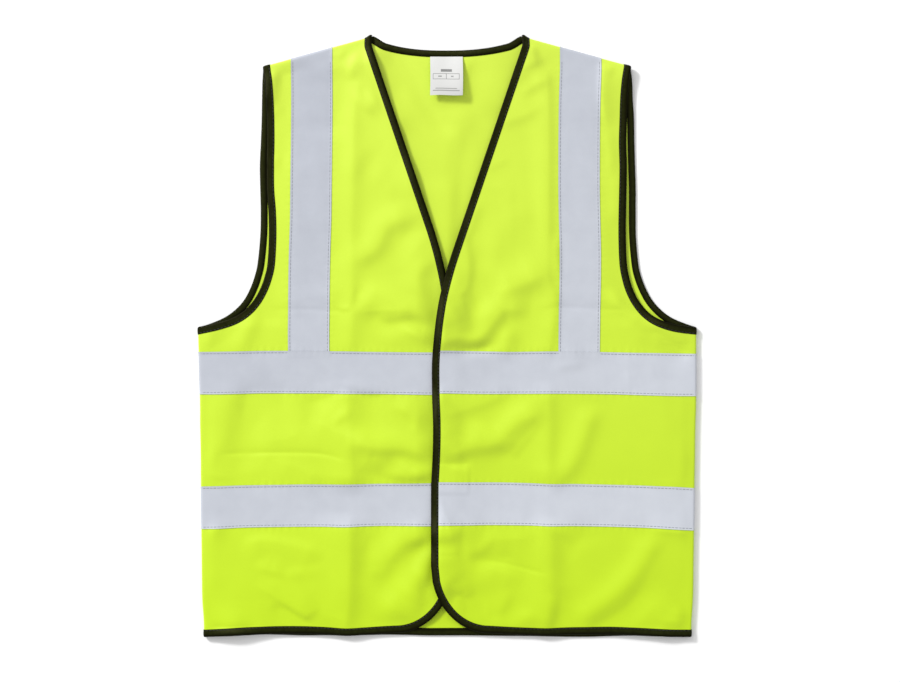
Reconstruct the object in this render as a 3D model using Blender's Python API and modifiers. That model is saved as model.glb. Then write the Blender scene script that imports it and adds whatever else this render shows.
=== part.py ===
"""Safety vest, closed and laid flat on a table.

The cloth is three panels, a back and two fronts, sewn together at the shoulders and sides.
Reflective tape lies on the panels, folded binding wraps their open edges, and a label hangs
inside the back neck. X runs to the wearer's left, Y to the neck and Z up, with the origin
under the middle of the vest. Lengths are in millimetres until a mesh is made, in metres.
Places on a flat panel are given by s, the distance outwards from the middle, and by y.
"""

import math

import bmesh
import bpy
from mathutils import Vector

MM = 0.001

# Cloth, tape and binding
WALL = 1.0                              # thickness of every wall
GAP = 0.3                               # air between neighbouring pieces
LAYER = WALL + GAP                      # from the middle of one layer to the next
BINDING_REACH = 7.2                     # how far the binding folds onto the cloth
BRACE_WIDTH = 47.5                      # reflective brace, edge to edge

# A seam folds the cloth over in a quarter turn and a short straight, up to the other panel
SEAM_RADIUS = GAP + WALL + GAP + WALL / 2       # room inside for a binding's inner wall
SEAM_STRAIGHT = 0.25
TURN_ARC = SEAM_RADIUS * math.pi / 2
TURN_LENGTH = TURN_ARC + SEAM_STRAIGHT
TURN_SHARES = (0.0, TURN_ARC / TURN_LENGTH / 2, TURN_ARC / TURN_LENGTH, 1.0)

# Heights of the panels' middles above the table
BACK_Z = LAYER + WALL / 2
FRONT_Z = BACK_Z + 2 * (SEAM_RADIUS + SEAM_STRAIGHT) + GAP
FLAP_LIFT = 3 * LAYER                   # the left front rides over the right one's binding

# Sides and shoulders, as the lines where the cloth starts to turn over
SIDE_S = 295.8
TAPER = 0.029                           # share of the width lost from armpit to hem
TAPER_POWER = 1.6
TAPER_TOP, TAPER_LENGTH = 7.0, 365.0
NECK_S, NECK_Y = 91.4, 357.0
ARM_S, ARM_Y = 219.0, 321.6
SHOULDER_SLOPE = (NECK_Y - ARM_Y) / (ARM_S - NECK_S)
SHOULDER_ANGLE = math.atan(SHOULDER_SLOPE)

# Back neck
SCOOP_Y = 340.8
SCOOP_POWER = 2.5

# Front edges: the neckline slants down to the straight edge, through an arc
NECKLINE_SLOPE = 0.339
NECKLINE_S, NECKLINE_Y = 8.6, 103.0     # a place on the neckline
EDGE_RADIUS = 480.0
REACH = {"right": 6.7, "left": 17.9}    # how far each front passes the middle
CORNER_S, CORNER_Y = 66.7, 78.7         # half axes of the rounded lower corner

# The left front's edge is lifted over the right front
FLAP_START, FLAP_FULL = 0.42, 0.855     # shares of the body's width where it rises
FLAP_TOP, FLAP_END = 96.0, 150.0        # heights between which it dies out

# Armholes: places of the cloth's edge, as heights up the side of the arm with the distance
# at each, and then as steps outwards under the arm with the height at each
ARM_HEIGHTS = (87.3, 118.0, 148.0, 176.0, 204.0, 232.0, 260.0, 285.0, 305.0, ARM_Y)
ARM_EDGE = {
    ("front", "right"): (214.2, 212.4, 213.1, 214.8, 215.2, 214.8, 214.9, 215.7, 217.2, ARM_S),
    ("front", "left"): (214.9, 213.4, 213.7, 215.9, 214.6, 213.9, 214.7, 215.7, 217.0, ARM_S),
    ("back", "right"): (225.6, 222.6, 221.9, 222.5, 223.0, 221.8, 220.8, 220.4, 219.9, ARM_S),
    ("back", "left"): (228.4, 225.6, 225.2, 225.3, 224.5, 223.8, 223.2, 221.6, 220.7, ARM_S),
}
ARM_STEPS = (0.0, 3.0, 8.0, 16.0, 27.0, 41.0, 60.0)
ARM_UNDER = {
    ("front", "right"): (87.3, 72.6, 58.3, 43.9, 31.5, 22.3, 15.4),
    ("front", "left"): (87.3, 70.2, 54.8, 40.8, 28.5, 19.6, 13.5),
    ("back", "right"): (87.3, 73.8, 59.1, 43.7, 31.2, 21.1, 12.9),
    ("back", "left"): (87.3, 72.8, 59.0, 43.9, 31.2, 20.8, 12.7),
}
ARM_END_S, ARM_END_Y = 300.0, 8.9       # where the two faces' edges meet at the side seam
CHEST_TOP = ARM_HEIGHTS[0]

# Level lines of a panel: height at the middle, and how far it falls at each side seam
LINES = {
    #                      middle  right  left
    "hem":               (-357.9,  1.6,   1.6),
    "lower_band_bottom": (-228.2,  2.8,   4.6),
    "lower_band_top":    (-178.2,  2.8,   4.6),
    "upper_band_bottom": (-69.8,   0.2,   2.4),
    "upper_band_top":    (-19.8,   0.2,   2.4),
}

# Middle of each brace at the shoulder and at the upper band
BRACE = {
    #         shoulder  band
    "right": (162.6,    166.8),
    "left":  (159.6,    158.6),
}

# Soft folds: a ridge from one end to the other in X and Y, its height and half width
CALM = 12.0                             # no fold this close to a sewn or bound edge
FADE = 34.0                             # and full height this much further in
FOLDS = {
    "right": (
        # x1      y1      x2      y2      height  half width
        (-38.0,   178.0,  -124.0, 112.0,  3.6,    17.0),
        (-118.0,  300.0,  -117.0, 20.0,   1.6,    10.0),
        (-262.0,  -78.0,  -286.0, -146.0, 2.8,    12.0),
        (-212.0,  -98.0,  -148.0, -78.0,  2.4,    20.0),
        (-122.0,  -124.0, -42.0,  -128.0, 3.0,    12.0),
        (-32.0,   -252.0, -92.0,  -318.0, 3.4,    15.0),
        (-170.0,  -300.0, -232.0, -262.0, 2.2,    14.0),
    ),
    "left": (
        (48.0,    22.0,   118.0,  72.0,   4.0,    16.0),
        (40.0,    140.0,  26.0,   66.0,   2.0,    12.0),
        (124.0,   300.0,  124.0,  20.0,   1.6,    10.0),
        (40.0,    -128.0, 106.0,  -84.0,  4.0,    14.0),
        (136.0,   -158.0, 170.0,  -84.0,  3.4,    14.0),
        (182.0,   -326.0, 250.0,  -246.0, 3.6,    15.0),
        (64.0,    -250.0, 104.0,  -246.0, 2.2,    14.0),
    ),
    "back": (
        (-66.0,   300.0,  -30.0,  180.0,  1.2,    16.0),
        (50.0,    290.0,  26.0,   200.0,  1.2,    14.0),
    ),
}

# Label
LABEL_LEFT, LABEL_RIGHT = -20.2, 18.8
LABEL_BOTTOM = 289.0
LABEL_CURL = 5.0                        # how far its free end stands up
LABEL_COLUMNS, LABEL_ROWS = 2, 6

# Columns run in from a side seam, as zones and the shares of each zone to cut at
FRONT_COLUMNS = (
    ("turn", TURN_SHARES[::-1]),
    ("underarm", (0.3, 0.5, 0.68, 0.84, 1.0)),
    ("strap", (0.45, 1.0)),
    ("brace", (0.5, 1.0)),
    ("body", (0.21, FLAP_START, 0.57, 0.72, FLAP_FULL, 0.94, 1.0)),
    ("rim", (0.5, 1.0)),
)
BACK_COLUMNS = (
    ("turn", TURN_SHARES[::-1]),
    ("underarm", (0.3, 0.5, 0.68, 0.84, 1.0)),
    ("strap", (1.0,)),
    ("brace", (1.0,)),
    ("nape", (1.0,)),
    ("scoop", (0.25, 0.5, 0.75, 1.0)),
)
# Rows run up from the hem, in the same way
FRONT_ROWS = (
    ("skirt", (0.0, 0.25, 0.5, 0.75, 1.0)),
    ("lower_band", (1.0,)),
    ("waist", (0.25, 0.5, 0.75, 1.0)),
    ("upper_band", (1.0,)),
    ("chest", (0.3, 0.55, 0.8, 1.0)),
    ("yoke", (0.1, 0.25, 0.4, 0.55, 0.7, 0.85, 1.0)),
    ("turn", TURN_SHARES[1:]),
)
BACK_ROWS = (
    ("skirt", (0.0, 0.5, 1.0)),
    ("lower_band", (1.0,)),
    ("waist", (0.5, 1.0)),
    ("upper_band", (1.0,)),
    ("chest", (0.5, 1.0)),
    ("yoke", (0.25, 0.5, 0.75, 1.0)),
    ("turn", TURN_SHARES[1:]),
)

# Section of a folded binding: distance into the cloth, and height over its middle
HALF_SLOT = WALL / 2 + GAP
HALF_FOLD = HALF_SLOT + WALL
BINDING_SECTION = (
    (BINDING_REACH, HALF_FOLD),
    (-LAYER, HALF_FOLD),
    (-LAYER, -HALF_FOLD),
    (BINDING_REACH, -HALF_FOLD),
    (BINDING_REACH, -HALF_SLOT),
    (-GAP, -HALF_SLOT),
    (-GAP, HALF_SLOT),
    (BINDING_REACH, HALF_SLOT),
)

MATERIALS = {
    #               red    green  blue   roughness
    "cloth":       (0.630, 0.870, 0.060, 0.80),
    "tape":        (0.600, 0.620, 0.660, 0.45),
    "binding":     (0.020, 0.021, 0.012, 0.60),
    "label_cloth": (0.870, 0.870, 0.860, 0.60),
}


def lerp(start, end, share):
    """Value at a share of the way from start to end."""
    return start + (end - start) * share


def soft_step(share):
    """Rise from 0 to 1 with level ends."""
    share = min(max(share, 0.0), 1.0)
    return share * share * (3 - 2 * share)


# ---------------------------------------------------------------- outlines of the flat pieces

def line_y(name, side, s):
    """Height of a level line."""
    middle, right_fall, left_fall = LINES[name]
    fall = right_fall if side == "right" else left_fall
    return middle - fall * (s / SIDE_S) ** 2


def read_off(places, values, at):
    """Value at a place between the ones that a rising table lists."""
    for k in range(1, len(places)):
        if at <= places[k] or k == len(places) - 1:
            share = (at - places[k - 1]) / (places[k] - places[k - 1])
            return lerp(values[k - 1], values[k], min(max(share, 0.0), 1.0))


def armhole_y(face, side, s):
    """Height of the armhole's edge where it runs under the arm."""
    start = ARM_EDGE[face, side][0]
    steps = [start + step for step in ARM_STEPS] + [ARM_END_S]
    return read_off(steps, ARM_UNDER[face, side] + (ARM_END_Y,), s)


def armhole_s(face, side, y):
    """Distance of the armhole's edge where it runs up to the shoulder."""
    return read_off(ARM_HEIGHTS, ARM_EDGE[face, side], y)


def front_edge_s(side, y):
    """Distance of a front's open edge, below zero where it passes the middle."""
    reach = REACH[side]
    lean = math.atan(NECKLINE_SLOPE)
    corner_y = NECKLINE_Y - (NECKLINE_S + reach) / NECKLINE_SLOPE
    arc_start = corner_y - EDGE_RADIUS * math.tan(lean / 2)
    arc_end = arc_start + EDGE_RADIUS * math.sin(lean)
    if y <= arc_start:
        return -reach
    if y < arc_end:
        return -reach + EDGE_RADIUS - math.sqrt(EDGE_RADIUS ** 2 - (y - arc_start) ** 2)
    return min(NECKLINE_S + (y - NECKLINE_Y) * NECKLINE_SLOPE, NECK_S)


def hem_y(face, side, s):
    """Height of the lower edge, which a front rounds up to its open edge."""
    y = line_y("hem", side, s)
    share = (CORNER_S - REACH[side] - s) / CORNER_S
    if face == "back" or share <= 0:
        return y
    return y + CORNER_Y * (1 - math.sqrt(max(1 - share * share, 0.0)))


def top_y(face, s):
    """Height of the shoulder line, or of the back's scoop between the shoulders."""
    if face == "front" or s >= NECK_S:
        return NECK_Y - (s - NECK_S) * SHOULDER_SLOPE
    return SCOOP_Y + (NECK_Y - SCOOP_Y) * (s / NECK_S) ** SCOOP_POWER


def brace_s(side, y):
    """Distance of a brace's middle."""
    shoulder, band = BRACE[side]
    share = (ARM_Y - y) / (ARM_Y - LINES["upper_band_top"][0])
    return lerp(shoulder, band, min(max(share, 0.0), 1.0))


def column_s(face, column, y):
    """Distance of a column of the lattice at height y."""
    side, zone, share = column
    arm = armhole_s(face, side, y)
    outer = brace_s(side, y) + BRACE_WIDTH / 2
    inner = outer - BRACE_WIDTH
    if zone == "turn":
        return SIDE_S + share * TURN_LENGTH
    if zone == "underarm":
        return arm + (SIDE_S - arm) * (1 - math.sin(share * math.pi / 2))
    if zone == "strap":
        return lerp(arm, outer, share)
    if zone == "brace":
        return lerp(outer, inner, share)
    if zone == "nape":
        return lerp(inner, NECK_S, share)
    if zone == "scoop":
        return NECK_S * (1 - share)
    edge = front_edge_s(side, y)
    rim = edge + BINDING_REACH + GAP
    if zone == "body":
        return lerp(inner, rim, share)
    return lerp(rim, edge, share)


def row_y(face, column, row, s):
    """Height of a row of the lattice at a distance s."""
    side, column_zone = column[:2]
    zone, share = row
    if zone == "turn":
        return top_y(face, s) + share * TURN_LENGTH / math.cos(SHOULDER_ANGLE)
    under_arm = column_zone in ("turn", "underarm")
    chest_top = armhole_y(face, side, s) if under_arm else CHEST_TOP
    low, high = {
        "skirt": (hem_y(face, side, s), line_y("lower_band_bottom", side, s)),
        "lower_band": [line_y(f"lower_band_{end}", side, s) for end in ("bottom", "top")],
        "waist": (line_y("lower_band_top", side, s), line_y("upper_band_bottom", side, s)),
        "upper_band": [line_y(f"upper_band_{end}", side, s) for end in ("bottom", "top")],
        "chest": (line_y("upper_band_top", side, s), chest_top),
        "yoke": (CHEST_TOP, top_y(face, s)),
    }[zone]
    return lerp(low, high, share)


# ---------------------------------------------------------------- shape on the table

def flap_share(side, column, y):
    """How much of the overlap's lift a place on a front takes."""
    zone, share = column[1:]
    if side != "left" or zone not in ("body", "rim"):
        return 0.0
    across = 1.0 if zone == "rim" else (share - FLAP_START) / (FLAP_FULL - FLAP_START)
    down = 1 - soft_step((y - FLAP_TOP) / (FLAP_END - FLAP_TOP))
    return min(max(across, 0.0), 1.0) * down


def fold_height(folds, x, y):
    """Height of all the soft folds over one place."""
    height = 0.0
    for x1, y1, x2, y2, rise, half_width in folds:
        start, along = Vector((x1, y1)), Vector((x2 - x1, y2 - y1))
        place = Vector((x, y)) - start
        share = min(max(place.dot(along) / along.length_squared, 0.0), 1.0)
        distance = (place - along * share).length
        height += rise * math.exp(-(distance / half_width) ** 2)
    return height


def turned(beyond):
    """Reach and drop of a place that lies beyond the line where its seam folds it over."""
    angle = min(beyond, TURN_ARC) / SEAM_RADIUS
    straight = max(beyond - TURN_ARC, 0.0)
    return SEAM_RADIUS * math.sin(angle), SEAM_RADIUS * (1 - math.cos(angle)) + straight


def laid(face, sign, s, y, lift):
    """A place on the flat cloth, laid on the table and turned over where a seam folds it."""
    over_side = max(s - SIDE_S, 0.0)
    over_shoulder = max(y - top_y(face, s), 0.0) * math.cos(SHOULDER_ANGLE)
    side_reach, side_drop = turned(over_side)
    shoulder_reach, shoulder_drop = turned(over_shoulder)
    pull = over_shoulder - shoulder_reach
    laid_s = min(s, SIDE_S) + side_reach - pull * math.sin(SHOULDER_ANGLE)
    laid_y = y - pull * math.cos(SHOULDER_ANGLE)
    down_share = max(TAPER_TOP - y, 0.0) / TAPER_LENGTH
    laid_s *= 1 - TAPER * down_share ** TAPER_POWER
    drop = side_drop + shoulder_drop
    z = FRONT_Z - drop if face == "front" else BACK_Z + drop
    return Vector((sign * laid_s, laid_y, z + lift))


class Panel:
    """One cut piece, as a lattice of columns and rows laid on the table."""

    def __init__(self, face, columns, rows, folds):
        self.face, self.columns, self.rows = face, columns, rows
        flat = {}
        for c, column in enumerate(columns):
            for r, row in enumerate(rows):
                if self.is_cloth(c, r):
                    flat[c, r] = self.flat_place(column, row)
        still = [flat[key] for key in flat if self.is_still(flat, *key)]
        self.point = {}
        for (c, r), (sign, s, y) in flat.items():
            x = sign * s
            margin = min(math.hypot(x - sign2 * s2, y - y2) for sign2, s2, y2 in still)
            lift = soft_step((margin - CALM) / FADE) * fold_height(folds, x, y)
            lift += FLAP_LIFT * flap_share(columns[c][0], columns[c], y)
            self.point[c, r] = laid(face, sign, s, y, lift)
        self.measure_normals()

    def flat_place(self, column, row):
        """Where a column and a row cross on the flat cloth: sign of X, s and y."""
        y = 0.0
        for _ in range(16):
            s = column_s(self.face, column, y)
            y = row_y(self.face, column, row, s)
        return (1 if column[0] == "left" else -1), s, y

    def is_cloth(self, c, r):
        """There is no cloth in the armholes and above the neck."""
        zone, share = self.columns[c][1:]
        row_zone = self.rows[r][0]
        outside = zone == "turn" or (zone == "underarm" and share < 1)
        return not (outside and row_zone in ("yoke", "turn")
                    or zone == "scoop" and row_zone == "turn")

    def is_still(self, flat, c, r):
        """Folds keep away from edges, and from where the fronts overlap."""
        zone, share = self.columns[c][1:]
        around = ((c + i, r + j) for i in (-1, 0, 1) for j in (-1, 0, 1))
        at_edge = any(place not in flat for place in around)
        return at_edge or zone == "rim" or (zone == "body" and share >= FLAP_FULL)

    def open_mesh(self):
        """The panel's middle surface as triangles, facing out of the garment."""
        mesh = bmesh.new()
        wide, high = len(self.columns) - 1, len(self.rows) - 1
        grid = bmesh.ops.create_grid(mesh, x_segments=wide, y_segments=high, size=0.5)
        places = {}
        for vertex in grid["verts"]:
            c = round((vertex.co.x + 0.5) * wide)
            r = round((vertex.co.y + 0.5) * high)
            places[c, r] = vertex
        outside = [places[key] for key in places if key not in self.point]
        bmesh.ops.delete(mesh, geom=outside, context="VERTS")
        places = {key: places[key] for key in self.point}
        bmesh.ops.triangulate(mesh, faces=mesh.faces[:], quad_method="FIXED")
        for key, vertex in places.items():
            vertex.co = self.point[key]
        mesh.normal_update()
        facing = sum(face.normal.z for face in mesh.faces)
        if facing < 0 if self.face == "front" else facing > 0:
            bmesh.ops.reverse_faces(mesh, faces=mesh.faces[:])
            mesh.normal_update()
        return mesh, places

    def measure_normals(self):
        """Outward direction at each crossing, as long as one unit of offset needs."""
        mesh, places = self.open_mesh()
        self.normal = {}
        for key, vertex in places.items():
            self.normal[key] = vertex.normal * vertex.calc_shell_factor()
        mesh.free()

    def cell_column(self, c):
        """Side and zone of the cells between a column and the next one."""
        outward = self.face == "back" and self.columns[c][0] == "left"
        return self.columns[c if outward else c + 1][:2]

    def column(self, zone, share, side):
        """Index of a named column."""
        return self.columns.index((side, zone, share))

    def row(self, zone, share):
        """Index of a named row."""
        return self.rows.index((zone, share))


# ---------------------------------------------------------------- objects

def make_material(name):
    """Principled material from the table of finishes."""
    red, green, blue, roughness = MATERIALS[name]
    material = bpy.data.materials.new(name)
    material.use_nodes = True
    shader = material.node_tree.nodes["Principled BSDF"]
    shader.inputs["Base Color"].default_value = (red, green, blue, 1.0)
    shader.inputs["Roughness"].default_value = roughness
    return material


def add_object(name, mesh, material, collection):
    """Turn a bmesh in millimetres into an object in metres."""
    bmesh.ops.scale(mesh, vec=(MM, MM, MM), verts=mesh.verts[:])
    data = bpy.data.meshes.new(name)
    mesh.to_mesh(data)
    mesh.free()
    data.shade_smooth()
    data.set_sharp_from_angle(angle=math.radians(40))
    data.materials.append(material)
    obj = bpy.data.objects.new(name, data)
    collection.objects.link(obj)
    return obj


def thicken(obj):
    """Give an open sheet its wall, half to each side."""
    solidify = obj.modifiers.new("Wall", "SOLIDIFY")
    solidify.thickness = WALL * MM
    solidify.offset = 0.0
    solidify.use_even_offset = True
    return obj


def add_sheet(name, panel, material, collection, out=0.0, rows=None, columns=None):
    """A panel, or the stretch of it in some zones moved out, as a wall of cloth or tape."""
    mesh, places = panel.open_mesh()
    crossing = {vertex: key for key, vertex in places.items()}
    waste = []
    for face in mesh.faces:
        c = min(crossing[vertex][0] for vertex in face.verts)
        r = min(crossing[vertex][1] for vertex in face.verts)
        row_fits = rows is None or panel.rows[r + 1][0] in rows
        if not row_fits or not (columns is None or panel.cell_column(c) in columns):
            waste.append(face)
    for key, vertex in places.items():
        vertex.co += panel.normal[key] * out
    bmesh.ops.delete(mesh, geom=waste, context="FACES")
    return thicken(add_object(name, mesh, material, collection))


def add_brace(name, panel, side, material, collection):
    """Tape from the shoulder seam down to just above the upper band."""
    obj = add_sheet(name, panel, material, collection, out=LAYER,
                    rows=("chest", "yoke", "turn"), columns=((side, "brace"),))
    lowest = min(vertex.co.y for vertex in obj.data.vertices)
    for vertex in obj.data.vertices:
        if vertex.co.y < lowest + LAYER * MM:
            vertex.co.y += GAP * MM
    return obj


def add_binding(name, path, material, collection):
    """Folded tape lofted along a cloth edge: a U in section that holds the cloth in its slot."""
    mesh = bmesh.new()
    sections = []
    for i, (panel, crossing, inner) in enumerate(path):
        point, normal = panel.point[crossing], panel.normal[crossing]
        if inner:
            way_in = (panel.point[inner] - point).normalized()
        else:
            before, after = (path[j][0].point[path[j][1]] for j in (i - 1, i + 1))
            square = normal.cross(after - before).normalized()
            way_in = square if square.dot(way_in) > 0 else -square
        sections.append([mesh.verts.new(point + way_in * reach + normal * height)
                         for reach, height in BINDING_SECTION])
    corners = len(BINDING_SECTION)
    for first, second in zip(sections, sections[1:]):
        for k in range(corners):
            after = (k + 1) % corners
            mesh.faces.new((first[k], first[after], second[after], second[k]))
    mesh.faces.new(sections[0])
    mesh.faces.new(sections[-1])
    mesh.normal_update()
    bmesh.ops.triangulate(mesh, faces=mesh.faces[:])
    bmesh.ops.recalc_face_normals(mesh, faces=mesh.faces[:])
    return add_object(name, mesh, material, collection)


def add_label(material, collection):
    """Small label, butted against the neck binding, with its free end curling up."""
    mesh = bmesh.new()
    bmesh.ops.create_grid(mesh, x_segments=LABEL_COLUMNS, y_segments=LABEL_ROWS, size=0.5)
    bmesh.ops.triangulate(mesh, faces=mesh.faces[:])
    top = SCOOP_Y - BINDING_REACH - GAP
    for vertex in mesh.verts:
        across, down = vertex.co.x + 0.5, 0.5 - vertex.co.y
        x = lerp(LABEL_LEFT, LABEL_RIGHT, across)
        y = lerp(top, LABEL_BOTTOM, down)
        vertex.co = (x, y, BACK_Z + LAYER + LABEL_CURL * down ** 2)
    return thicken(add_object("label", mesh, material, collection))


# ---------------------------------------------------------------- the vest

def in_steps(zones, side=None):
    """List each cut of a lattice, with its side where one is given."""
    start = () if side is None else (side,)
    return [start + (zone, share) for zone, shares in zones for share in shares]


# A path lists the crossings along an edge, as panel, crossing and the crossing next to it
# further in; that one is left out where the binding lies square to its edge.

def armhole_path(front, back, side):
    """From the front's side seam round the armhole, over the shoulder, to the back's."""
    path = []
    for panel in (front, back):
        arm = panel.column("underarm", 1.0, side)
        seam = panel.column("turn", 1.0, side)
        inward = 1 if seam < arm else -1
        chest, fold = panel.row("chest", 1.0), panel.row("yoke", 1.0)
        stretch = []
        for c in range(seam, arm + inward, inward):
            turns = panel.columns[c][1] == "turn"
            stretch.append((panel, (c, chest), (c, chest - 1) if turns else None))
        stretch += [(panel, (arm, r), None) for r in range(chest + 1, fold)]
        stretch += [(panel, (arm, r), (arm + inward, r)) for r in range(fold, len(panel.rows))]
        path += stretch if panel is front else stretch[::-1]
    return path


def edge_path(front):
    """From the side seam along the hem, up the open edge and the neckline to the shoulder."""
    last = len(front.columns) - 1
    fold = front.row("yoke", 1.0)
    path = []
    for c in range(last):
        path.append((front, (c, 0), (c, 1) if front.columns[c][1] == "turn" else None))
    path += [(front, (last, r), None) for r in range(fold)]
    return path + [(front, (last, r), (last - 1, r)) for r in range(fold, len(front.rows))]


def neck_path(back):
    """Across the back neck from shoulder seam to shoulder seam."""
    right, left = (back.column("nape", 1.0, side) for side in ("right", "left"))
    fold, end = back.row("yoke", 1.0), len(back.rows)
    path = [(back, (right, r), (right - 1, r)) for r in range(end - 1, fold - 1, -1)]
    further_out = {right: right - 1, left: left + 1}
    path += [(back, (c, fold), (further_out.get(c, c), fold - 1)) for c in range(right, left + 1)]
    return path + [(back, (left, r), (left + 1, r)) for r in range(fold, end)]


def hem_path(back):
    """Along the back's hem from side seam to side seam."""
    return [(back, (c, 0), (c, 1)) for c in range(len(back.columns))]


def build():
    """Make every piece in its own object."""
    for obj in list(bpy.data.objects):
        bpy.data.objects.remove(obj)
    vest = bpy.data.collections.new("safety_vest")
    bpy.context.scene.collection.children.link(vest)
    cloth, tape, folded, woven = (make_material(name) for name in MATERIALS)

    half = in_steps(BACK_COLUMNS, "right")
    other_half = in_steps(BACK_COLUMNS, "left")[-2::-1]
    back = Panel("back", half + other_half, in_steps(BACK_ROWS), FOLDS["back"])
    sides = ("right", "left")
    fronts = {}
    for side in sides:
        columns = in_steps(FRONT_COLUMNS, side)
        fronts[side] = Panel("front", columns, in_steps(FRONT_ROWS), FOLDS[side])

    add_sheet("back_panel", back, cloth, vest)
    add_binding("neck_binding", neck_path(back), folded, vest)
    add_binding("hem_binding", hem_path(back), folded, vest)
    add_label(woven, vest)
    for level in ("upper", "lower"):
        add_sheet(f"band_{level}_back", back, tape, vest, out=LAYER, rows=(f"{level}_band",))

    taped = [(side, zone) for side in sides
             for zone in ("turn", "underarm", "strap", "brace", "body")]
    for side, front in fronts.items():
        add_sheet(f"front_panel_{side}", front, cloth, vest)
        add_binding(f"edge_binding_{side}", edge_path(front), folded, vest)
        add_binding(f"armhole_binding_{side}", armhole_path(front, back, side), folded, vest)
        add_brace(f"brace_front_{side}", front, side, tape, vest)
        add_brace(f"brace_back_{side}", back, side, tape, vest)
        for level in ("upper", "lower"):
            add_sheet(f"band_{level}_{side}", front, tape, vest, out=LAYER,
                      rows=(f"{level}_band",), columns=taped)


build()
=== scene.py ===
"""Safety vest, closed and laid flat: cloth, reflective tape, bindings, stitches and label.

The pieces have the same layout as the solids. A place on a flat piece is given by s, its
distance outwards from the middle, and by y. It is laid on the table and turned over at the
side and shoulder seams. Lengths in the layout are in millimetres, and arrays hold one value
for each place.
"""

import math

import bmesh
import bpy
import numpy as np
from mathutils import Matrix, Vector


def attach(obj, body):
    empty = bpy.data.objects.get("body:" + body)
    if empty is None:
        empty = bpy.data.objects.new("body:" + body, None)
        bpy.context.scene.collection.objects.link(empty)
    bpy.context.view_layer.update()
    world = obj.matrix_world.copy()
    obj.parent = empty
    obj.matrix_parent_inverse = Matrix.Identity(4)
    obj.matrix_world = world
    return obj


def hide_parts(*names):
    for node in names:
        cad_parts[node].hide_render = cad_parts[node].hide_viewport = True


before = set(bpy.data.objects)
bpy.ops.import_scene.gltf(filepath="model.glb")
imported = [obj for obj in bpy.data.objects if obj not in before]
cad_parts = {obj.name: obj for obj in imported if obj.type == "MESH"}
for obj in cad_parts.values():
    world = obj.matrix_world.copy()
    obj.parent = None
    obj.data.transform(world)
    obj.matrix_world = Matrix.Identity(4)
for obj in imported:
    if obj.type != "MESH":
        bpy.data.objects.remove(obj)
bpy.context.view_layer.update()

MM = 0.001
SHARP_ANGLE = math.radians(65)          # past which an edge shows as a corner

# ---------------------------------------------------------------- sizes of the cut

CLOTH_WALL = 0.7
TAPE_WALL = 0.24
TAPE_OUT = 0.58                         # middle of the tape above the middle of the cloth
TAPE_CROWN, CROWN_CELLS = 0.12, 3       # further rise of the tape, over cells from its stitches
FOOT_GAP, FOOT_EASE = 0.1, 1.5          # upper band over a brace's foot, and rows to ease over
EDGE_STAND = 0.35                       # by which the tape's edges stand up outside the stitches
BACK_LESS, BACK_LESS_REACH = 0.1, 30.0  # share by which the back's bindings narrow downwards
BINDING_REACH = 7.5                     # how far the binding folds onto the cloth
RIM = BINDING_REACH + 0.3               # cells under the binding at a front's open edge
BRACE_WIDTH = 49.4
BRACE_FOOT = 5.0                        # end of a brace that runs under the upper band

# A seam folds the cloth over in a quarter turn and a short straight, up to the other panel
SEAM_RADIUS = 2.1
SEAM_STRAIGHT = 0.4
TURN_ARC = SEAM_RADIUS * math.pi / 2
TURN_LENGTH = TURN_ARC + SEAM_STRAIGHT
BACK_Z, FRONT_Z = 1.8, 6.8
# The left front rides over the right one's binding, and its rim a little higher
FLAP_LIFT, RIM_LIFT = 3.315, 0.585

SIDE_S = 295.8
NECK_S, NECK_Y = 91.4, 355.8
ARM_S, ARM_Y = 219.0, 320.4
SHOULDER_SLOPE = (NECK_Y - ARM_Y) / (ARM_S - NECK_S)
SHOULDER_ANGLE = math.atan(SHOULDER_SLOPE)
SCOOP_Y, SCOOP_POWER, SCOOP_RISE = 340.8, 2.5, 3.6
SCOOP_RISE_START, SCOOP_RISE_SPAN = 0.8, 0.17
NECK_RISE, NECK_RISE_REACH = 2.0, 4.0
NECKLINE_SLOPE = 0.339
NECKLINE_S, NECKLINE_Y = 8.6, 103.0
EDGE_RADIUS = 480.0
REACH = {"right": 6.7, "left": 17.9}    # how far each front passes the middle
CORNER_S, CORNER_Y = 66.7, 78.7         # half axes of the rounded lower corner
FLAP_START = 0.42                       # share of the way from the brace where it starts to rise
FLAP_SPAN = 29 / 60                     # share of the way over which it rises
FLAP_TOP, FLAP_END = 96.0, 150.0
# Armholes: places of the cloth's edge, as heights up the side of the arm with the distance
# at each, and then as steps outwards under the arm with the height at each
ARM_HEIGHTS = (87.3, 118.0, 148.0, 176.0, 204.0, 232.0, 260.0, 285.0, 305.0, ARM_Y, 330.0)
ARM_EDGE = {
    ("front", "right"): (213.6, 212, 212.5, 214.6, 214.8, 214.3, 214.5, 215.3, 216.8, 219, 219),
    ("front", "left"): (213.9, 212.7, 212.9, 213.5, 213.9, 213.2, 214, 214.7, 216.3, 218.6, 219),
    ("back", "right"): (225.6, 222.6, 221.9, 222.5, 223.0, 221.8, 220.8, 220.4, 219.9, 219, 219),
    ("back", "left"): (227.7, 225, 224.6, 224.7, 223.9, 223.1, 222.6, 221, 220.3, 218.6, 219),
}
ARM_STEPS = (0.0, 3.0, 8.0, 16.0, 27.0, 41.0, 60.0)
ARM_UNDER = {
    ("front", "right"): (87.3, 72.5, 58.0, 43.3, 30.7, 21.5, 14.9),
    ("front", "left"): (87.3, 69.8, 53.9, 39.2, 26.7, 18.1, 12.3),
    ("back", "right"): (87.3, 73.6, 58.7, 43.1, 30.6, 20.7, 12.7),
    ("back", "left"): (87.3, 72.8, 58.9, 43.6, 30.8, 20.5, 12.6),
}
ARM_END_S, ARM_END_Y = 300.0, 8.9       # where the two faces' edges meet at the side seam
CHEST_TOP = ARM_HEIGHTS[0]

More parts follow.
